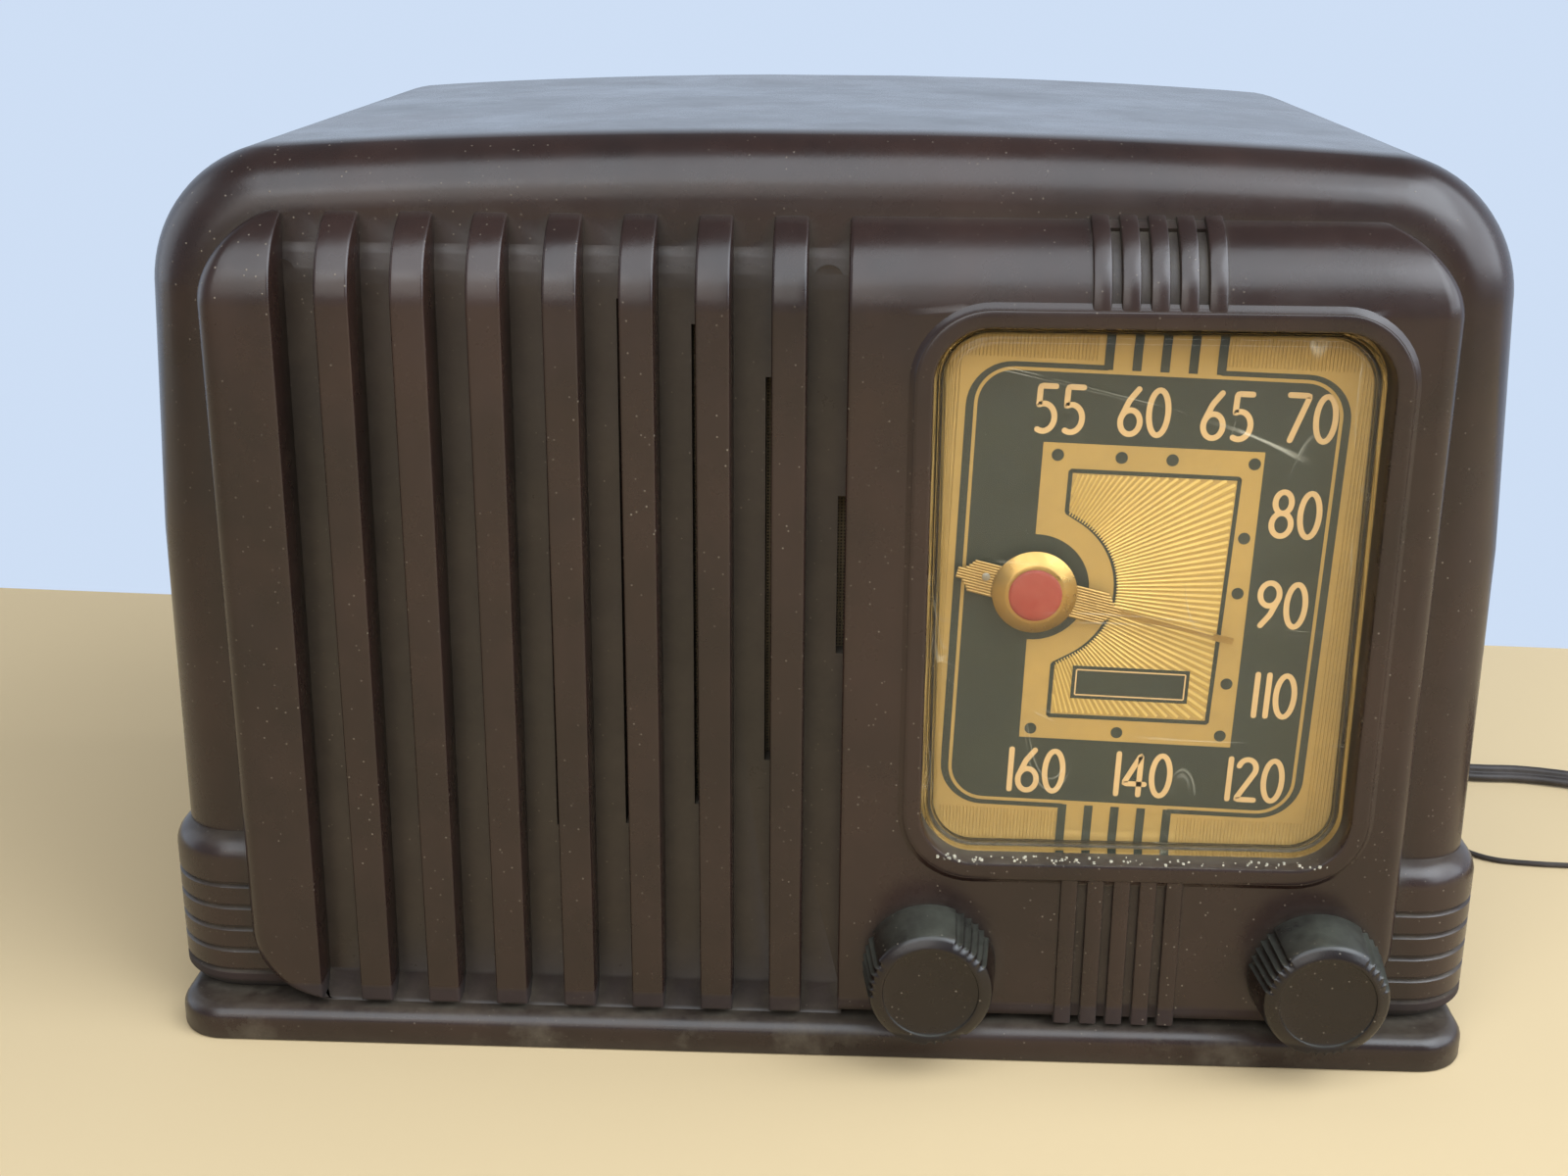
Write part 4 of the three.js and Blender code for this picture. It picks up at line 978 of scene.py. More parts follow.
def plinth_body():
    levels = [(0, 0.9), (0.35, 0.25), (1, 0)]
    for angle in np.radians(np.linspace(0, 90, 9)):
        levels.append((
            PLINTH_TOP - PLINTH_EDGE + PLINTH_EDGE * math.sin(angle), PLINTH_EDGE * (1 - math.cos(angle)),
        ))
    rings = []
    for z, inset in levels:
        outline = rounded_box(
            inset - PLINTH_HALF, PLINTH_HALF - inset, inset, REAR_Y - inset, PLINTH_CORNER - inset, 12,
        )
        rings.append(at_z(outline, z))
    return loft(rings)


EAR_GROOVES = [36.7, 31.05, 25.4, 19.75, 14.1]


def ear(side):
    """The grooved block at a front corner, with a rounded shoulder."""
    levels = []
    for angle in np.radians(np.linspace(0, 90, 7)):
        levels.append((8.4 + 3.4 * math.sin(angle), 3.4 * (1 - math.sin(angle)) ** 1.3))
    for middle in EAR_GROOVES[::-1]:
        for shift, depth in ((-0.75, 0), (-0.5, 0.25), (-0.25, 0.8), (0.25, 0.8), (0.5, 0.25), (0.75, 0)):
            levels.append((middle + shift, depth))
    for angle in np.radians(np.linspace(0, 84, 10)):
        levels.append((42.5 + 6 * math.sin(angle), 6 * (1 - math.cos(angle))))
    levels.append((48.5, 5.9))
    levels.sort()
    rings = []
    for z, inset in levels:
        nose = arc(155 - 17, 8 + 17, 17 - inset, -90, 0, 16)
        tail = arc(155 - 6, 38, 6 - min(inset, 5), 0, 70, 6)
        outline = np.vstack(([(126, 8 + inset)], nose, tail, [(126, 50)]))
        rings.append(at_z(outline * (side, 1), z))
    return loft(rings)


def rounded_depth(distance, radius):
    """How far a rounded edge falls back at a distance in from the outline."""
    lack = np.clip(radius - distance, 0, radius)
    return radius - np.sqrt(np.maximum(radius ** 2 - lack ** 2, 0))


def bent(x, along, depth):
    """A point of the raised front: along runs up its face, then back over the curl."""
    over = np.maximum(along - CURL_Z, 0) / CURL_RADIUS
    reach = CURL_RADIUS - depth
    y = np.where(along > CURL_Z, FACE_Y + CURL_RADIUS - reach * np.cos(over), FACE_Y + depth)
    z = np.where(along > CURL_Z, CURL_Z + reach * np.sin(over), along)
    return np.column_stack((x, y, z))


def raised_bar(left, right, left_corner, right_corner, left_round, right_round, columns=6):
    """A bar of the raised front from x = left to right, its outer corners and edges rounded."""
    last = CURL_Z + CURL_RADIUS * math.radians(CURL_END)
    start = max(left_corner, right_corner)
    low = PANEL_BOTTOM + start * (1 - np.cos(np.linspace(0, math.pi / 2, 2 + int(start))))
    soft = PANEL_BOTTOM + max(left_round, right_round) * np.linspace(0, 1, 8) ** 1.6
    high = np.linspace(CURL_Z, last, 20)
    stations = np.unique(np.round(np.concatenate((low, soft, np.linspace(30, CURL_Z, 8), high)), 3))
    rings = []
    for along in stations:
        edges = []
        for edge, corner, sign in ((left, left_corner, 1), (right, right_corner, -1)):
            rise = min(along - PANEL_BOTTOM, corner)
            bow = corner - math.sqrt(max(corner ** 2 - (corner - rise) ** 2, 0))
            if along > CURL_Z:
                bow = corner * (1 - math.cos((along - CURL_Z) / CURL_RADIUS)) * 0.92
            edges.append(edge + sign * bow)
        x0, x1 = edges
        left_part = x0 + left_round * (1 - np.cos(np.linspace(0, math.pi / 2, 6)))
        right_part = x1 - right_round * (1 - np.cos(np.linspace(math.pi / 2, 0, 6)))
        middle = np.linspace(left_part[-1], right_part[0], columns + 2)[1:-1]
        x = np.concatenate((left_part, middle, right_part))
        depth = np.maximum(rounded_depth(x - x0, left_round), rounded_depth(x1 - x, right_round))
        foot_round = min(left_round, right_round) if x1 - x0 < 20 else max(left_round, right_round) * 0.6
        depth = np.maximum(depth, rounded_depth(along - PANEL_BOTTOM, foot_round))
        x = np.concatenate(([x0], x, [x1]))
        depth = np.concatenate(([14], depth, [14]))
        rings.append(bent(x, np.full(len(x), along), depth))
    return loft(rings)


def raised_front():
    bars = [
        raised_bar(-PANEL_HALF, LEFT_BAR_RIGHT, PANEL_CORNER * 0.82, 0.01, 4.5, 0.7, 4),
        raised_bar(RIGHT_PANEL_LEFT, PANEL_HALF, 0.01, PANEL_CORNER, 1.0, 4.5, 10),
    ]
    bars += [raised_bar(x, x + SLAT_WIDTH, 0.01, 0.01, 0.7, 0.7, 2) for x in SLAT_LEFTS]
    return bars


def grille_floor():
    """The floor behind the bars, with a hollow foot and a soft shoulder."""
    shoulder = [(13.95, 178), (14.2, 181), (14.9, 184.5), (16.2, 188.5), (18.4, 192)]
    profile = [(18.4, 8), (5.6, 8), (5.6, 8.4), (7.6, 9.9), (9.3, 11.7), (10.7, 14), *shoulder]
    return prism_x(profile, LEFT_BAR_RIGHT - 1, RIGHT_PANEL_LEFT + 1)


def sound_slots():
    """Narrow slots let the sound out beside each bar, within the circle of the speaker."""
    width = 1.7
    for edge in SLAT_LEFTS + [RIGHT_PANEL_LEFT]:
        half = math.sqrt(SPEAKER_RADIUS ** 2 - (edge - width / 2 - SPEAKER[0]) ** 2)
        yield block(edge - width, edge + 0.02, -5, 22, SPEAKER[1] - half, SPEAKER[1] + half)


def decor_ribs():
    """Five ribs over the window, which follow the curl, and five below it."""
    for n in range(RIB_COUNT):
        x0 = RIB_FIRST + RIB_PITCH * n - RIB_WIDTH / 2
        x1 = x0 + RIB_WIDTH
        soft = 0.55
        section = [
            (x0, 3), (x0, soft), (x0 + soft * 0.3, soft * 0.3), (x0 + soft, 0), (x1 - soft, 0),
            (x1 - soft * 0.3, soft * 0.3), (x1, soft), (x1, 3),
        ]
        xs, depths = np.array(section).T
        upper_start = WINDOW[1] + WINDOW_HALF[1]
        for proud, stations in (
            (1.0, np.concatenate(([upper_start, CURL_Z], np.linspace(CURL_Z + 2, CURL_Z + 24.6, 14)))),
            (0.8, np.array([PANEL_BOTTOM - 0.4, PANEL_BOTTOM + 0.1, 30, WINDOW[1] - WINDOW_HALF[1]])),
        ):
            rings = [bent(xs, np.full(len(xs), along), depths - proud) for along in stations]
            yield loft(rings)


def rib_gaps():
    """Shallow grooves that part the ribs."""
    over = WINDOW[1] + WINDOW_HALF[1] + 5.5
    under = WINDOW[1] - WINDOW_HALF[1] - 5.5
    runs = (np.concatenate(([over, CURL_Z], np.linspace(CURL_Z + 2, CURL_Z + 21, 12))),
            np.array([PANEL_BOTTOM - 1, PANEL_BOTTOM + 0.2, under]))
    for n in range(RIB_COUNT - 1):
        x0 = RIB_FIRST + RIB_PITCH * n + RIB_WIDTH / 2
        x1 = x0 + RIB_PITCH - RIB_WIDTH
        xs, depths = np.array([(x0, 0.9), (x0, -0.6), (x1, -0.6), (x1, 0.9)]).T
        for stations in runs:
            yield loft([bent(xs, np.full(len(xs), along), depths) for along in stations])


def around_window(grown, y, steps=12):
    half_x = WINDOW_HALF[0] + grown
    half_z = WINDOW_HALF[1] + grown
    outline = rounded_box(
        WINDOW[0] - half_x, WINDOW[0] + half_x, WINDOW[1] - half_z, WINDOW[1] + half_z,
        WINDOW_CORNER + grown, steps,
    )
    return at_y(outline, y)


def window_bead():
    """The moulding round the window: a hollow cove up to a rounded bead."""
    levels = [(5.4, 5), (5.4, FACE_Y + 0.1), (5.0, 2.42), (4.6, 2.2), (4.25, 1.9), (3.95, 1.6)]
    for angle in np.radians(np.linspace(0, 90, 5)):
        levels.append((2.4 + 1.4 * math.cos(angle), 1.4 + 0.2 * (1 - math.sin(angle))))
    levels.append((1.2, 1.4))
    return loft([around_window(grown, y) for grown, y in levels])


def panel_pocket():
    """The hollow behind the dial panel, rounded at its right-hand corners as the panel is."""
    left = RIGHT_PANEL_LEFT + PANEL_WALL
    right = PANEL_HALF - PANEL_WALL
    bottom = PANEL_BOTTOM + PANEL_WALL
    corner = PANEL_CORNER - PANEL_WALL
    front = FACE_Y + PANEL_WALL
    stations = []
    for angle in np.radians(np.linspace(90, 0, 9)):
        drawn_in = corner * (1 - math.cos(angle))
        stations.append((right - drawn_in, front, bottom + corner * (1 - math.sin(angle))))
    for angle in np.radians(np.linspace(0, CURL_END, 12)):
        drawn_in = corner * (1 - math.cos(angle))
        stations.append((right - drawn_in, front + drawn_in, CURL_Z + corner * math.sin(angle)))
    return loft([[(left, 24, z), (left, y, z), (x, y, z), (x, 24, z)] for x, y, z in stations])


def cabinet():
    steps = [("UNION", plinth_body()), ("UNION", ear(1)), ("UNION", ear(-1)), ("UNION", grille_floor())]
    steps += [("UNION", bar) for bar in raised_front()]
    steps.append(("UNION", window_bead()))
    steps += [("UNION", rib) for rib in decor_ribs()]
    steps += [("DIFFERENCE", gap) for gap in rib_gaps()]
    steps += [
        ("DIFFERENCE", shell_body(WALL, PLINTH_TOP, REAR_Y + 10, 6)),
        ("DIFFERENCE", block(-RIM_INSIDE, RIM_INSIDE, RIM_Y[0], RIM_Y[1], -1, PLINTH_TOP - PLINTH_FLOOR)),
        ("DIFFERENCE", panel_pocket()),
    ]
    steps.append(("UNION", loft([around_window(COLLAR_WALL, 4), around_window(COLLAR_WALL, 9.5)])))
    for side in (-1, 1):
        for z in POST_ZS:
            left, right = sorted((side * (POST_X - POST_HALF), side * 150))
            post = block(left, right, *POST_Y, z - POST_HALF, z + POST_HALF)
            steps.append(("UNION", post))
            steps.append(("DIFFERENCE", rod_y(side * POST_X, z, 1.6, POST_Y[0] + 4, REAR_Y, 12)))
    mouth = [around_window(0.9, -5), around_window(0.9, 1.3), around_window(0.3, 1.6), around_window(0, 2.2)]
    steps.append(("DIFFERENCE", loft(mouth + [around_window(0, 12)])))
    steps += [("DIFFERENCE", rod_y(x, KNOB_Z, 5, -5, 12)) for x in KNOB_XS.values()]
    steps += [("DIFFERENCE", slot) for slot in sound_slots()]
    steps += [("DIFFERENCE", rod_z(x, y, 2.2, 0, 9, 16)) for x, y in CHASSIS_BOLTS]
    for posts, y0, y1, bore in ((DIAL_POSTS, 4.5, 13.7, 1.5), (BAFFLE_POSTS, 14.2, 20.1, 1.7)):
        steps += [("UNION", rod_y(x, z, 3.2, y0, y1, 24)) for x, z in posts]
        steps += [("DIFFERENCE", rod_y(x, z, bore, y1 - 3.3, y1 + 1, 16)) for x, z in posts]
    start = shell_body(0, 5, REAR_Y, 12)
    carved("cabinet_shell", start, steps, BAKELITE, "bakelite", ["cabinet"], sharp=32)


cabinet()


# ---------------------------------------------------------------- dial

DIAL_CENTRE = (70.8, 110.7)
DIAL_TILT = 1.9  # degrees clockwise that the printed plate sits turned in the window
DIAL_FACE = node_box("dial_plate")[0][1]
LAYER = 0.05  # each printed layer stands this much prouder
PRINT_DEPTH = LAYER * 0.9
PIVOT_U, PIVOT_V = -23.5, 1.2
FIELD_HALF = (41.3, 51.7)
LINE_HALF = (39.15, 50.2)
BAR_PITCH = 6.0
BAR_WIDTH = 1.95
STRIPE_PITCH = 0.78


def on_dial(points):
    """Points of the printed plate, right and up from its centre, as (x, z) of the cabinet."""
    turn = math.radians(DIAL_TILT)
    u, v = np.asarray(points, dtype=float).T
    x = DIAL_CENTRE[0] + u * math.cos(turn) + v * math.sin(turn)
    z = DIAL_CENTRE[1] - u * math.sin(turn) + v * math.cos(turn)
    return np.column_stack((x, z))


def printed(outline, layer):
    y = DIAL_FACE - layer * LAYER
    return prism_y(on_dial(outline), y, y + PRINT_DEPTH)


def stamped(outline, layer):
    """Like printed, but as deep as it stands proud of the plate."""
    return prism_y(on_dial(outline), DIAL_FACE - layer * LAYER, DIAL_FACE)


def stroke(points, width, layer, closed=False):
    """A printed line of even width along points, with round ends or closed on itself."""
    points = np.asarray(points, dtype=float)
    y = DIAL_FACE - layer * LAYER
    if closed:
        ahead = np.roll(points, -1, axis=0) - np.roll(points, 1, axis=0)
        halves = np.full(len(points), width / 2)
    else:
        first = (points[0] - points[1]) / np.linalg.norm(points[0] - points[1])
        last = (points[-1] - points[-2]) / np.linalg.norm(points[-1] - points[-2])
        end_angles = np.radians([72, 45, 20])
        reach = np.sin(end_angles) * width / 2
        before = points[0] + np.outer(reach, first)
        after = points[-1] + np.outer(reach[::-1], last)
        halves = np.full(len(points), width / 2)
        taper = np.cos(end_angles) * width / 2
        points = np.vstack((before, points, after))
        halves = np.concatenate((taper, halves, taper[::-1]))
        ahead = np.gradient(points, axis=0)
    ahead /= np.linalg.norm(ahead, axis=1)[:, None]
    across = np.column_stack((-ahead[:, 1], ahead[:, 0])) * halves[:, None]
    left = at_y(on_dial(points + across), y)
    right = at_y(on_dial(points - across), y)
    deeper = np.array([0, PRINT_DEPTH, 0])
    rings = [np.array([a, b, b + deeper, a + deeper]) for a, b in zip(left, right)]
    return loft(rings, closed=closed)


def framed(half_u, half_v, radius, width, layer):
    """A printed line round a rounded rectangle about the centre."""
    def ring(grown, y):
        outline = rounded_box(
            -half_u - grown, half_u + grown, -half_v - grown, half_v + grown, radius + grown, 10,
        )
        return at_y(on_dial(outline), y)
    y = DIAL_FACE - layer * LAYER
    back = y + PRINT_DEPTH
    half = width / 2
    return loft([ring(half, y), ring(-half, y), ring(-half, back), ring(half, back)], closed=True)


def oval(u, v, half_u, half_v, start=0, end=360, steps=28):
    angles = np.radians(np.linspace(start, end, steps + 1))
    return np.column_stack((u + half_u * np.cos(angles), v + half_v * np.sin(angles)))


def rectangle(u0, u1, v0, v1):
    return [(u0, v0), (u1, v0), (u1, v1), (u0, v1)]


def filled_corners(outline):
    """Adds points close to each corner, so that a closed stroke keeps its width there."""
    outline = np.asarray(outline, dtype=float)
    out = []
    for k, corner in enumerate(outline):
        before = outline[k - 1]
        after = outline[(k + 1) % len(outline)]
        for other in (before, after):
            gap = np.linalg.norm(other - corner)
            out.append(corner + (other - corner) * min(0.12 / gap, 0.45))
    return np.array(out)


def digit_strokes(digit):
    """Strokes of a plain one-line digit 4 wide and 10 tall, centred on (0, 0): (points, closed)."""
    if digit == "0":
        return [(oval(0, 0, 2.05, 4.95)[:-1], True)]
    if digit == "1":
        return [([(0, -4.95), (0, 4.95)], False)]
    if digit == "2":
        bowl = oval(-0.05, 2.75, 1.95, 2.2, 165, -35, 14)
        return [(np.vstack((bowl, [(-2.05, -4.95), (2.1, -4.95)])), False)]
    if digit == "4":
        return [([(1.15, -4.95), (1.15, 4.95), (-2.35, -2.3), (2.35, -2.3)], False)]
    if digit == "5":
        bowl = oval(-0.35, -1.95, 2.4, 3.05, 118, -118, 18)
        return [(np.vstack(([(1.9, 4.95), (-1.35, 4.95), (-1.45, 1.0)], bowl)), False)]
    if digit == "6":
        return [
            (oval(0, -2.35, 2.1, 2.65)[:-1], True),
            (np.vstack(([(1.35, 4.95)], [(-0.5, 2.4)], oval(0, -2.35, 2.1, 2.65, 152, 180, 5))), False),
        ]
    if digit == "7":
        return [([(-2.1, 4.95), (2.1, 4.95), (-1.2, -4.95)], False)]
    if digit == "8":
        return [(oval(0, 2.6, 1.75, 2.4)[:-1], True), (oval(0, -2.35, 2.1, 2.6)[:-1], True)]
    six = digit_strokes("6")
    return [(-np.asarray(points, dtype=float), closed) for points, closed in six]


def filleted(points, radius=0.5):
    """Open points whose corners are cut by short curves, so that a stroke turns them cleanly."""
    points = np.asarray(points, dtype=float)
    out = [points[0]]
    for before, corner, after in zip(points[:-2], points[1:-1], points[2:]):
        back = before - corner
        ahead = after - corner
        cut = min(radius, np.linalg.norm(back) / 2.2, np.linalg.norm(ahead) / 2.2)
        start = corner + back / np.linalg.norm(back) * cut
        end = corner + ahead / np.linalg.norm(ahead) * cut
        out += [start, (start + 2 * corner + end) / 4, end]
    out.append(points[-1])
    return np.array(out)


NUMERALS = [
    ("55", -21.1, 41.7), ("60", -2.8, 41.9), ("65", 15.0, 41.9), ("70", 32.9, 42.2), ("80", 32.1, 20.7),
    ("90", 31.6, -0.1), ("110", 31.5, -21.6), ("120", 29.5, -42.3), ("140", 4.1, -42.5),
    ("160", -20.3, -42.7),
]
DIGIT_STEP = 5.95
NARROW_STEP = 3.9
STROKE = 1.25


def numerals():
    for text, u, v in NUMERALS:
        places = [0.0]
        for before, after in zip(text, text[1:]):
            narrow = (before == "1") + (after == "1")
            places.append(places[-1] + (DIGIT_STEP, NARROW_STEP, 2.6)[narrow])
        middle = places[-1] / 2
        for digit, place_at in zip(text, places):
            for number, (points, closed) in enumerate(digit_strokes(digit)):
                line = np.asarray(points, dtype=float) + (u + place_at - middle, v)
                if not closed:
                    line = filleted(line)
                yield stroke(line, STROKE, 2 + 0.25 * number, closed)


def gold_frame():
    """The C-shaped gold plaque, notched round the pointer's hub."""
    notch = arc(PIVOT_U, PIVOT_V, 12.3, -92.3, 92.3, 24)
    return np.vstack(([(-23.9, 34.3), (23.9, 34.3), (23.9, -34.6), (-23.9, -34.6)], notch))


def sun_outline():
    waist = arc(PIVOT_U, PIVOT_V, 18.2, -60, 58, 20)
    return np.vstack((
        [(-17.5, 28.2), (19.1, 28.2), (18.0, -28.9), (-17.8, -29.0), (-17.8, -16.6)], waist, [(-17.6, 18.8)],
    ))


def crossings(outline, angle):
    """Distances from the pivot at which a ray leaves or enters an outline."""
    heading = np.array([math.cos(angle), math.sin(angle)])
    start = outline - (PIVOT_U, PIVOT_V)
    step = np.roll(start, -1, axis=0) - start
    bottom = heading[0] * step[:, 1] - heading[1] * step[:, 0]
    with np.errstate(divide="ignore", invalid="ignore"):
        share = (start[:, 1] * heading[0] - start[:, 0] * heading[1]) / -bottom
        reach = (start[:, 0] * step[:, 1] - start[:, 1] * step[:, 0]) / bottom
    hit = (share >= 0) & (share < 1) & (reach > 0) & np.isfinite(reach)
    return np.sort(reach[hit])


RAY_STEP = 2.1
RAY_HEIGHT = 0.16


def sun_rays():
    """Embossed rays that spread from the pivot across the panel."""
    outline = sun_outline() * (0.965, 0.972)
    for degrees in np.arange(-78, 80, RAY_STEP):
        reaches = crossings(outline, math.radians(degrees))
        if len(reaches) < 2 or reaches[1] - reaches[0] < 1.5:
            continue
        base = DIAL_FACE - 2 * LAYER
        rings = []
        for reach in (reaches[0], reaches[1]):
            half = reach * math.radians(RAY_STEP * 0.36)
            middle = np.radians(degrees)
            ahead = np.array([math.cos(middle), math.sin(middle)])
            across = np.array([-ahead[1], ahead[0]]) * half
            centre = np.array([PIVOT_U, PIVOT_V]) + ahead * reach
            sides = on_dial([centre + across, centre - across, centre])
            rings.append([
                (sides[0][0], base + 0.03, sides[0][1]), (sides[0][0], base, sides[0][1]),
                (sides[2][0], base - RAY_HEIGHT, sides[2][1]),
                (sides[1][0], base, sides[1][1]), (sides[1][0], base + 0.03, sides[1][1]),
            ])
        yield loft(rings)


def pinstripes():
    """Fine upright ridges in the border, outside the dark field."""
    edge = FIELD_HALF[0] + 0.9
    for u in np.arange(-47.6, 47.7, STRIPE_PITCH):
        spans = [(-60, 60)] if abs(u) > edge else [(-60, -52.6), (52.6, 60)]
        if abs(u) < 13.6:
            continue
        for low, high in spans:
            rings = []
            for v in (low, high):
                a, b, c = on_dial([(u - 0.2, v), (u, v), (u + 0.2, v)])
                rings.append([
                    (a[0], DIAL_FACE + 0.02, a[1]), (b[0], DIAL_FACE - 0.12, b[1]),
                    (c[0], DIAL_FACE + 0.02, c[1]),
                ])
            yield loft(rings)


def ornament_bars():
    """Five dark bars over and under the field; the outer ones join its edge."""
    for end in (1, -1):
        shift = 0.6 if end > 0 else -0.7
        for n in range(-2, 3):
            u = shift + BAR_PITCH * n
            v0, v1 = sorted((end * 50.75, end * 60.3))
            yield rectangle(u - BAR_WIDTH / 2, u + BAR_WIDTH / 2, v0, v1)


DOTS = [
    (-20.6, 31.6), (-6.8, 31.6), (4.2, 31.6), (21.9, 31.6), (21.5, 14.8), (21.5, 2.1), (21.4, -19.3),
    (21.3, -31.9), (-2.0, -32.4), (-21.5, -32.4),
]


def dial_piece(name, solids, look, nodes=()):
    fitted(name, total(solids), look, "printed_metal", nodes, sharp=20)


def dial():
    low, high = node_box("dial_plate")
    plate = prism_y(rounded_box(low[0], high[0], low[2], high[2], 11, 10), DIAL_FACE, high[1])
    dial_piece("dial_metal", [plate, *pinstripes()], GOLD_PRINT, ["dial_plate"])
    field = printed(rounded_box(-FIELD_HALF[0], FIELD_HALF[0], -FIELD_HALF[1], FIELD_HALF[1], 10, 10), 1)
    dial_piece("dial_field", [field], DARK_PRINT)
    gold = [framed(*LINE_HALF, 8, 0.75, 2), printed(gold_frame(), 2)]
    half_gap = 2 * BAR_PITCH
    for end, shift in ((1, 0.6), (-1, -0.7)):
        v0, v1 = sorted((end * 50.4, end * (FIELD_HALF[1] + 0.2)))
        gold.append(printed(rectangle(shift - half_gap, shift + half_gap, v0, v1), 1.9))
    dial_piece("dial_gold_print", gold, GOLD_PRINT)
    dial_piece("dial_sun_rays", list(sun_rays()), SUN_GOLD)
    dark = [printed(bar, 3) for bar in ornament_bars()]
    dark += [printed(circle(u, v, 1.35, 20), 3) for u, v in DOTS]
    dark.append(stroke(filled_corners(sun_outline()), 0.95, 3, closed=True))
    plate_depth = (RAY_HEIGHT + 3 * LAYER) / LAYER
    dark.append(stamped(rectangle(-13.2, 13.0, -24.5, -16.7), plate_depth))
    dial_piece("dial_dark_print", dark, DARK_PRINT)
    inner = filled_corners(rectangle(-12.3, 12.1, -23.6, -17.6))
    inner_line = stroke(inner, 0.3, plate_depth + 1, closed=True)
    dial_piece("dial_numerals", [*numerals(), inner_line], NUMERAL_PRINT)


LENS_HALF = (47.2, 60.2)
LENS_CORNER = 11.5
LENS_WALL = 1.2
LENS_EDGE = 2.4  # how far the face is rounded at its edge
LENS_RIM_Y = 6.8  # where that rounding starts
LENS_DOME = 0.7
FLANGE_WIDTH = 2.6
FLANGE_Y = (9.8, 11)


def around_lens(inset, corner, steps=12):
    half_x = LENS_HALF[0] - inset
    half_z = LENS_HALF[1] - inset
    return rounded_box(
        WINDOW[0] - half_x, WINDOW[0] + half_x, WINDOW[1] - half_z, WINDOW[1] + half_z, corner, steps,
    )


def lens_surface(thick):
    """Rings of the window, outside or a thickness in: its wall, its rounded edge and its domed face."""
    def ring(inset, y):
        corner = max(LENS_CORNER - thick - inset * 0.8, 1.5)
        return at_y(around_lens(thick + inset, corner), y)

    rim = LENS_RIM_Y + thick
    rings = [ring(0, rim)]
    for angle in np.radians(np.linspace(12, 90, 8)):
        rings.append(ring(LENS_EDGE * (1 - math.cos(angle)), rim - LENS_EDGE * math.sin(angle)))
    for share in (0.12, 0.3, 0.5, 0.7, 0.88):
        dome = LENS_DOME * (1 - (1 - share) ** 2)
        reach = LENS_HALF[0] - thick - LENS_EDGE
        rings.append(ring(LENS_EDGE + share * reach, rim - LENS_EDGE - dome))
    return rings, (WINDOW[0], rim - LENS_EDGE - LENS_DOME, WINDOW[1])


def dial_lens():
    flange_front, flange_back = FLANGE_Y
    outer, outer_middle = lens_surface(0)
    inner, inner_middle = lens_surface(LENS_WALL)
    wall_back = at_y(around_lens(0, LENS_CORNER), flange_front)
    hollow_back = at_y(around_lens(LENS_WALL, LENS_CORNER - LENS_WALL), flange_back + LENS_WALL + 2)
    hollow_front = at_y(around_lens(LENS_WALL, LENS_CORNER - LENS_WALL), flange_front)
    lens = loft([wall_back, *outer], None, outer_middle)
    hollow = loft([hollow_back, hollow_front, *inner], None, inner_middle)
    flange = prism_y(around_lens(-FLANGE_WIDTH, LENS_CORNER + FLANGE_WIDTH), flange_front, flange_back)
    steps = [("UNION", lens), ("DIFFERENCE", hollow)]
    carved("dial_window", flange, steps, LENS_CLEAR, "clear_window", ["dial_lens"], sharp=40)


# ---------------------------------------------------------------- pointer

PIVOT = tuple(middle_of("pointer_hub")[[0, 2]])
POINTER_REST = -13.8
WING_RIB_PITCH = 0.62
WING_RIB_HEIGHT = 0.16
WING_FACE = 9.72
WING_BACK = 10.1


def on_pointer(points):
    """Points along and across the pointer, as (x, z) of the cabinet at rest."""
    turn = math.radians(POINTER_REST)
    u, v = np.asarray(points, dtype=float).T
    x = PIVOT[0] + u * math.cos(turn) - v * math.sin(turn)
    z = PIVOT[1] + u * math.sin(turn) + v * math.cos(turn)
    return np.column_stack((x, z))


def pointer_rib(u0, u1, v):
    """One rib of the pressed wings, running along the pointer with a rounded back."""
    width = WING_RIB_PITCH * 0.98
    rings = []
    for u, lift in ((u0, 0.5), (u0 + 0.25, 1), (u1 - 0.25, 1), (u1, 0.5)):
        xs = on_pointer([(u, v - width / 2), (u, v - width / 5), (u, v + width / 5), (u, v + width / 2)])
        crest = WING_FACE - WING_RIB_HEIGHT * lift
        depths = (WING_FACE, crest, crest, WING_FACE)
        front = [(x, depth, z) for (x, z), depth in zip(xs, depths)]
        back = [(xs[3][0], WING_BACK, xs[3][1]), (xs[0][0], WING_BACK, xs[0][1])]
        rings.append(front + back)
    return loft(rings)


def on_arm(u0, u1, half_start, half_end, y0, y1):
    """A flat length of the pointer's arm."""
    outline = [(u0, -half_start), (u1, -half_end), (u1, half_end), (u0, half_start)]
    return prism_y(on_pointer(outline), y0, y1)


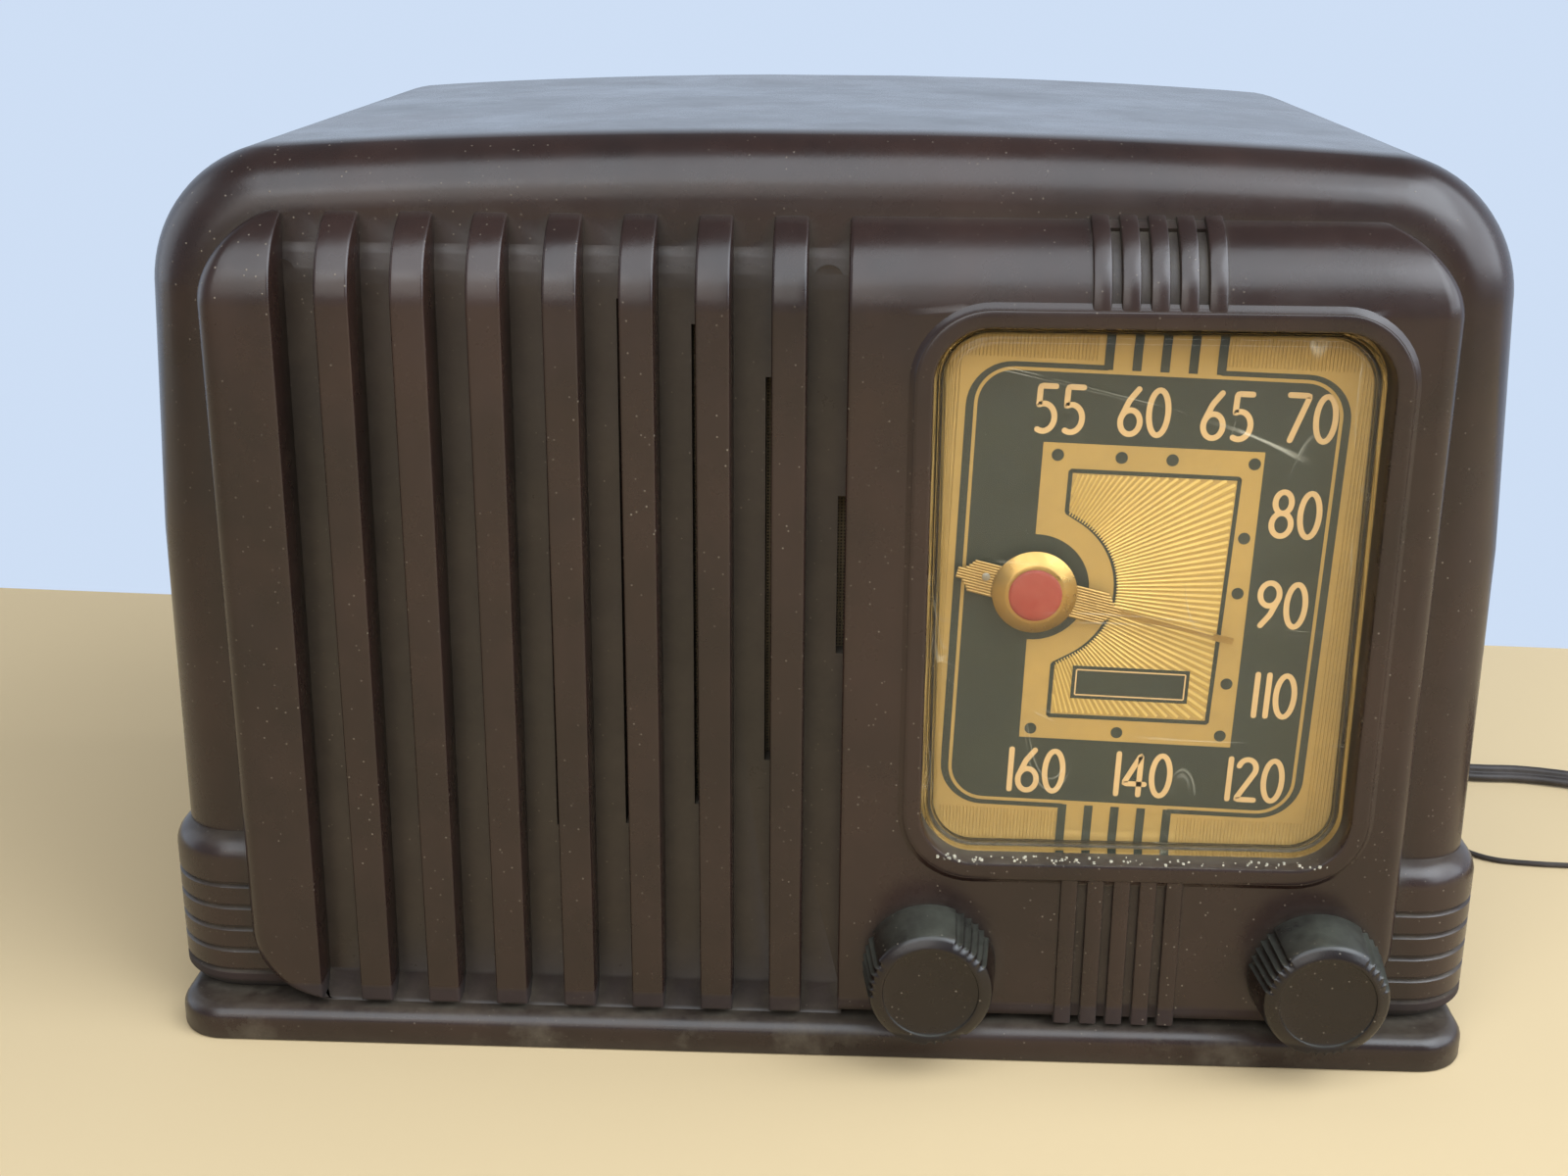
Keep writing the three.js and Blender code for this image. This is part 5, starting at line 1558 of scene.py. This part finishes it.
def pointer():
    ribs = []
    for v in np.arange(-3.41, 3.42, WING_RIB_PITCH):
        set_back = 0.9 * (abs(v) - 2.2)
        middle = abs(v) < 1.3
        tail = -17.6 if middle else -15.4 + set_back
        nose = 20.0 if middle else 17.2 - set_back
        ribs += [pointer_rib(tail, -4, v), pointer_rib(4, nose, v)]
    web = on_arm(-14.5, 16, 3.6, 3.6, 9.74, 10.0)
    needle = on_arm(19, 41.2, 0.75, 0.28, 9.62, 9.9)
    end = on_arm(41, 45.6, 0.75, 0.75, 9.6, 9.92)
    rivet_x, rivet_z = on_pointer([(-11.2, 0.6)])[0]
    rivet = lathe_y(rivet_x, rivet_z, [(0, 9.3), (0.5, 9.32), (0.85, 9.45), (0.95, 9.6), (0, 9.6)], 20)
    boss = lathe_y(*PIVOT, [
        (0, 7.1), (5.6, 7.12), (6.3, 7.15), (6.8, 7.35), (9.05, 8.85), (9.35, 9.05), (9.35, 9.3), (0, 9.3),
    ], 72)
    dome = [(5.75 * math.sin(a), 6.1 + 0.55 * (1 - math.cos(a))) for a in np.linspace(0.2, 1.35, 6)]
    cap = lathe_y(*PIVOT, [(0, 6.1), *dome, (5.85, 6.75), (5.8, 6.95), (5.4, 7.05), (0, 7.05)], 56)
    arm = total([web, needle, end, *ribs])
    for name, solid, look, material_slot, nodes, sharp in (
        ("pointer_arm", arm, GOLD_METAL, "gold_metal", ["pointer"], 25),
        ("pointer_rivet", rivet, SCREW_STEEL, "gold_metal", [], 35),
        ("pointer_boss", boss, HUB_GOLD, "gold_metal", ["pointer_hub"], 30),
        ("pointer_cap", cap, JEWEL_RED, "red_jewel", ["pointer_jewel"], 40),
    ):
        fitted(name, solid, look, material_slot, nodes, "dial_drive", sharp)


# ---------------------------------------------------------------- knobs

KNOB_FRONT_Y = node_box("tuning_knob")[0][1]
FLUTE_STEP = 8.2
FLUTE_DEPTH = 0.75
FLUTE_GROUPS = {"volume_knob": (48, 168, 288), "tuning_knob": (33, 152, 277)}


def flutes(angles, groups):
    """How deep the flutes cut at each angle: three groups of five round-bottomed grooves."""
    depth = np.zeros(len(angles))
    for middle in groups:
        for n in range(-2, 3):
            away = (angles - middle - n * FLUTE_STEP + 180) % 360 - 180
            shape = np.clip(1 - (away / (FLUTE_STEP * 0.43)) ** 2, 0, 1)
            depth = np.maximum(depth, np.sqrt(shape))
    return depth


def knob(node, x, body):
    face = KNOB_FRONT_Y
    profile = [
        (5, 1.6, 0), (14.6, 1.6, 0.6), (15.2, 1.35, 1), (15.35, 0.9, 1), (15.1, -1.5, 1), (14.7, -5, 1),
        (14.35, -8, 1), (14.05, -10.4, 1), (13.9, -11.0, 1), (13.6, -11.45, 0.85), (13.0, -11.8, 0.45),
        (12.2, -12.2, 0.12), (11.5, face + 0.08, 0), (11.15, face, 0), (10.85, face + 0.08, 0),
        (10.65, face + 0.5, 0), (10.3, face + 0.62, 0), (7, face + 0.66, 0), (3, face + 0.68, 0),
    ]
    angles = np.arange(0, 360, 1.0)
    cut = flutes(angles, FLUTE_GROUPS[node])
    turn = np.radians(angles)
    rings = []
    for radius, y, fluted in profile:
        r = radius - FLUTE_DEPTH * cut * fluted
        outline = np.column_stack((x + r * np.cos(turn), KNOB_Z + r * np.sin(turn)))
        rings.append(at_y(outline, y))
    solid = loft(rings, None, (x, face + 0.68, KNOB_Z))
    fitted(node + "_moulding", solid, KNOB_BAKELITE, "knob_bakelite", [node], body, sharp=40)


dial()
dial_lens()
pointer()
knob("volume_knob", KNOB_XS["volume_knob"], "volume_knob_and_shaft")
knob("tuning_knob", KNOB_XS["tuning_knob"], "tuning_control")


# ---------------------------------------------------------------- screws

def turned_to(solid, centre, outward, turn=0):
    """A solid made about the origin with its head up, laid at a centre and facing outward."""
    facing = Vector(outward).to_track_quat("Z", "Y").to_matrix()
    spun = np.array(facing @ Matrix.Rotation(math.radians(turn), 3, "Z"))
    return Solid(solid.points @ spun.T + centre, solid.faces)


THREAD_PITCH = 0.9


def screw(name, centre, outward, sizes, turn, nodes=()):
    """A slotted round-head screw; centre is under its head. Sizes: head radius and height, shank, reach."""
    radius, height, shank, reach = sizes
    along = -reach + 1.6
    profile = [(0, -reach), (shank * 0.35, -reach), (shank, along)]
    while along < -THREAD_PITCH - 0.4:
        profile += [(shank, along + 0.1), (shank * 0.86, along + THREAD_PITCH / 2)]
        along += THREAD_PITCH
    profile += [(shank, -0.2), (shank, 0), (radius, 0), (radius, height * 0.22)]
    profile += [(radius * 0.93, height * 0.55), (radius * 0.72, height * 0.85)]
    profile += [(radius * 0.38, height * 0.98), (0, height)]
    slot = block(-radius - 1, radius + 1, -radius * 0.11, radius * 0.11, height * 0.45, height + 1)
    steps = [("DIFFERENCE", turned_to(slot, centre, outward, turn))]
    body = turned_to(lathe_z(0, 0, profile, 24), centre, outward, turn)
    carved(name, body, steps, SCREW_STEEL, "steel_screw", nodes, sharp=30)


REAR_SCREW_SIZES = (3.4, 1.2, 1.3, 16)
CHASSIS_BOLT_SIZES = (4.2, 2.1, 1.9, 7.2)
DIAL_SCREW_SIZES = (2.7, 1.2, 1.35, 4.2)
BAFFLE_SCREW_SIZES = (3.1, 1.4, 1.5, 5.2)
RIM_SCREW_SIZES = (2.3, 1.3, 1.5, 3.6)
RIM_SCREW_RADIUS = 59.4
DIAL_SCREW_Y = 15.2
BAFFLE_SCREW_Y = 22.4
RIM_SCREW_Y = 24.2


def screws():
    for number, node in enumerate(sorted(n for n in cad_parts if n.startswith("rear_screw"))):
        x, _, z = middle_of(node)
        centre = (x, node_box(node)[1][1] - REAR_SCREW_SIZES[1], z)
        screw(node + "_slotted", centre, (0, 1, 0), REAR_SCREW_SIZES, 25 + 50 * number, [node])
    under_floor = PLINTH_TOP - PLINTH_FLOOR
    for number, (x, y) in enumerate(CHASSIS_BOLTS):
        screw(f"chassis_bolt_{number}", (x, y, under_floor), (0, 0, -1), CHASSIS_BOLT_SIZES, 70 * number)
    for number, (x, z) in enumerate(DIAL_POSTS):
        screw(f"dial_screw_{number}", (x, DIAL_SCREW_Y, z), (0, 1, 0), DIAL_SCREW_SIZES, 20 + 65 * number)
    for number, (x, z) in enumerate(BAFFLE_POSTS):
        place_at = (x, BAFFLE_SCREW_Y, z)
        screw(f"baffle_screw_{number}", place_at, (0, 1, 0), BAFFLE_SCREW_SIZES, 10 + 80 * number)
    for number, (x, z) in enumerate(arc(*SPEAKER, RIM_SCREW_RADIUS, 45, 315, 3)):
        screw(f"speaker_screw_{number}", (x, RIM_SCREW_Y, z), (0, 1, 0), RIM_SCREW_SIZES, 35 + 55 * number)


# ---------------------------------------------------------------- valves, cans and windings

def valve(node):
    """A glass envelope over a moulded base, with the plate, its wings and the mica spacers inside."""
    x, y, _ = middle_of(node)
    z = node_box(node)[0][2]
    base = lathe_z(x, y, [
        (0, z), (2.6, z), (2.9, z + 0.4), (2.9, z + 5.8), (13.9, z + 6), (14.3, z + 6.6), (14.3, z + 12),
        (14.05, z + 12.3), (14.05, z + 13), (14.3, z + 13.3), (14.3, z + 24.4), (13.6, z + 25.8), (0, z + 26),
    ], 40)
    fitted(node + "_base", base, DARK_PHENOLIC, "dark_phenolic")
    outside = [
        (12.8, z + 26.1), (12.9, z + 27.2), (14.0, z + 31), (14.7, z + 36), (14.7, z + 62), (13.9, z + 67.4),
        (11.5, z + 71.6), (8.2, z + 75), (4.6, z + 77), (1.8, z + 77.8),
    ]
    glass = lathe_z(x, y, [(0, z + 26.1), *outside, (0, z + 77.95)], 48)
    hollow = lathe_z(x, y, [(0, z + 27), *[(r - 0.9, v - 0.3) for r, v in outside[1:]], (0, z + 77)], 48)
    carved(node + "_envelope", glass, [("DIFFERENCE", hollow)], VALVE_CLEAR, "valve_glass", [node], sharp=50)
    plate = [prism_z(rounded_box(x - 7.5, x + 7.5, y - 4.4, y + 4.4, 3.8, 6), z + 37, z + 60)]
    plate.append(block(x - 11, x + 11, y - 0.3, y + 0.3, z + 37.6, z + 59.4))
    band = rounded_box(x - 7.8, x + 7.8, y - 4.7, y + 4.7, 4, 6)
    plate += [prism_z(band, v, v + 0.8) for v in (z + 42, z + 54)]
    plate += [rod_z(x + dx, y, 0.55, z + 27.2, z + 65, 10) for dx in (-9.4, 9.4)]
    plate.append(lathe_z(x, y, [(5.2, z + 68), (6.2, z + 67.4), (6.2, z + 68.6), (5.2, z + 68)], 24))
    fitted(node + "_plate", total(plate), IRON, "plated_steel")
    micas = [
        lathe_z(x, y, [(0, v), (11.6, v), (11.6, v + 0.5), (0, v + 0.5)], 20) for v in (z + 35.6, z + 61)
    ]
    fitted(node + "_micas", total(micas), WAX_PAPER, "waxed_parts")


def intermediate_can(node):
    """A drawn can with a folded foot and a rounded top, with two trimmer screws in it."""
    x, y, _ = middle_of(node)
    low, high = node_box(node)
    top = high[2] - 0.9
    rounding = 2.4

    def ring(inset, z):
        half = high[0] - x - inset
        return at_z(rounded_box(x - half, x + half, y - half, y + half, 4.2 - inset * 0.8, 6), z)

    rings = [ring(0, low[2]), ring(0, low[2] + 1.6), ring(0.7, low[2] + 2.2), ring(0.7, top - rounding)]
    for angle in np.radians((30, 60, 90)):
        inset = 0.7 + rounding * (1 - math.cos(angle))
        rings.append(ring(inset, top - rounding + rounding * math.sin(angle)))
    holes = [("DIFFERENCE", rod_z(x + dx, y, 2.6, top - 1.4, top + 2, 24)) for dx in (-6, 6)]
    carved(node + "_drawn", loft(rings), holes, ALUMINIUM, "aluminium_can", [node], sharp=28)
    for number, dx in enumerate((-6, 6)):
        sizes = (2.1, 1.0, 0.9, 1.2)
        screw(f"{node}_trimmer_{number}", (x + dx, y, top - 0.3), (0, 0, 1), sizes, 30 + 70 * number)


def filter_can():
    x, y, _ = middle_of("filter_capacitor")
    z0, z1 = (corner[2] for corner in node_box("filter_capacitor"))
    profile = [
        (0, z0), (17, z0), (17, z0 + 2.2), (16.3, z0 + 3), (16.3, z1 - 9), (15.5, z1 - 7.8), (15.5, z1 - 7.4),
        (16.3, z1 - 6.2), (16.3, z1 - 2), (15.6, z1 - 0.6), (14.2, z1), (13.2, z1 - 0.3), (12.8, z1 - 1.6),
        (3.6, z1 - 1.6), (3.2, z1 - 0.7), (0, z1 - 0.5),
    ]
    can = lathe_z(x, y, profile, 56)
    fitted("filter_can", can, ALUMINIUM, "aluminium_can", ["filter_capacitor"], sharp=28)


def oscillator_windings():
    _, y, z = middle_of("oscillator_coil")
    left, right = (corner[0] for corner in node_box("oscillator_coil"))
    former = lathe_x(y, z, [
        (0, left), (6, left), (6.3, left + 0.4), (6.3, right - 0.4), (6, right), (0, right),
    ], 36)
    fitted("oscillator_former", former, TAG_BOARD, "wound_wire", ["oscillator_coil"])
    windings = []
    for start, end, radius in ((64, 78, 7.9), (82, 95, 7.3)):
        profile = [(6.2, start)]
        for x in np.arange(start + 0.4, end, 0.8):
            profile += [(radius - 0.3, x - 0.38), (radius, x)]
        profile += [(6.2, end), (6.2, start)]
        windings.append(lathe_x(y, z, profile, 36))
    fitted("oscillator_windings", total(windings), WIRE_ENAMEL, "wound_wire", sharp=60)


def transformer():
    """Stacked laminations round a wax-dipped bobbin."""
    low, high = node_box("output_transformer")
    rings = []
    for n, y in enumerate(np.arange(72, 92.01, 0.5)):
        x0, z0 = low[[0, 2]] + 0.16 * (n % 2)
        x1, z1 = high[[0, 2]] - 0.16 * (n % 2)
        rings.append(at_y(rounded_box(x0, x1, z0, z1, 1.2, 3), y))
    fitted("transformer_stack", loft(rings), IRON, "laminated_iron", ["output_transformer"], sharp=80)
    for name, y0, y1 in (("front", 65, 71.9), ("rear", 92.1, 99)):
        start, reach = (y0, y1 - y0) if name == "rear" else (y1, y0 - y1)
        rings = []
        for angle in np.radians((0, 30, 60, 85)):
            inset = 3.2 * (1 - math.cos(angle))
            outline = rounded_box(-122.8 + inset, -101.2 - inset, 54.2 + inset, 77.8 - inset, 4.5, 5)
            rings.append(at_y(outline, start + reach * math.sin(angle)))
        fitted(f"transformer_bobbin_{name}", loft(rings), WAX_PAPER, "laminated_iron", sharp=50)


screws()
for valve_node in [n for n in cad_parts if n.startswith("valve_")]:
    valve(valve_node)
for can_node in ("if_can_input", "if_can_output"):
    intermediate_can(can_node)
filter_can()
oscillator_windings()
transformer()


# ---------------------------------------------------------------- dirt

CRUMB_SPOTS = [
    (26, 116, 0.4, 2.6, 50.9, 52.2, 85, 0.5),  # x from and to, y from and to, z from and to, count, size
    (-118, 5, 6.4, 9.5, 8.6, 9.0, 26, 0.55),
    (-150, -140, 20, 40, 48.6, 49.0, 14, 0.6),
    (140, 150, 20, 40, 48.6, 49.0, 14, 0.6),
]


def crumbs():
    """Grains of plaster and dust that lie under the window and on the ledges."""
    chance = random.Random(7)
    grains = []
    for x0, x1, y0, y1, z0, z1, count, size in CRUMB_SPOTS:
        for _ in range(count):
            centre = np.array([chance.uniform(x0, x1), chance.uniform(y0, y1), chance.uniform(z0, z1)])
            radius = size * chance.uniform(0.35, 1)
            corners = []
            for level in (-0.5, 0.45):
                spin = chance.uniform(0, 6.28)
                for k in range(4):
                    reach = radius * chance.uniform(0.6, 1)
                    turn = spin + k * 1.57
                    corner = (reach * math.cos(turn), reach * math.sin(turn), radius * level)
                    corners.append(centre + corner)
            grains.append(loft([corners[:4], corners[4:]]))
    fitted("crumbs", total(grains), PLASTER, "bakelite", sharp=20)


crumbs()


# ---------------------------------------------------------------- looks of the CAD nodes

NODE_LOOKS = {
    "grille_cloth": CLOTH, "speaker_baffle": BOARD, "speaker_basket": PLATING, "speaker_cone": CONE_PAPER,
    "dial_lamp": VALVE_CLEAR, "dial_drum": PLATING, "dial_cord": THREAD, "dial_cord_spring": SCREW_STEEL,
    "tuning_rotor": ALUMINIUM, "tuning_stator": ALUMINIUM, "tuning_capacitor_frame": PLATING,
    "capacitor_bracket": PLATING, "tuning_shaft": BRASS, "tuning_bushing": BRASS, "volume_shaft": SCREW_STEEL,
    "volume_control": PLATING, "chassis": PLATING, "component_board": TAG_BOARD, "rear_cover": BOARD,
    "loop_antenna": COTTON_GREEN, "antenna_terminals": DARK_PHENOLIC, "antenna_grommet": FLEX_RUBBER,
}
for node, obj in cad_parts.items():
    look = DARK_PHENOLIC if node.startswith("socket_") else NODE_LOOKS.get(node, STEEL)
    obj.data.materials.clear()
    obj.data.materials.append(look)
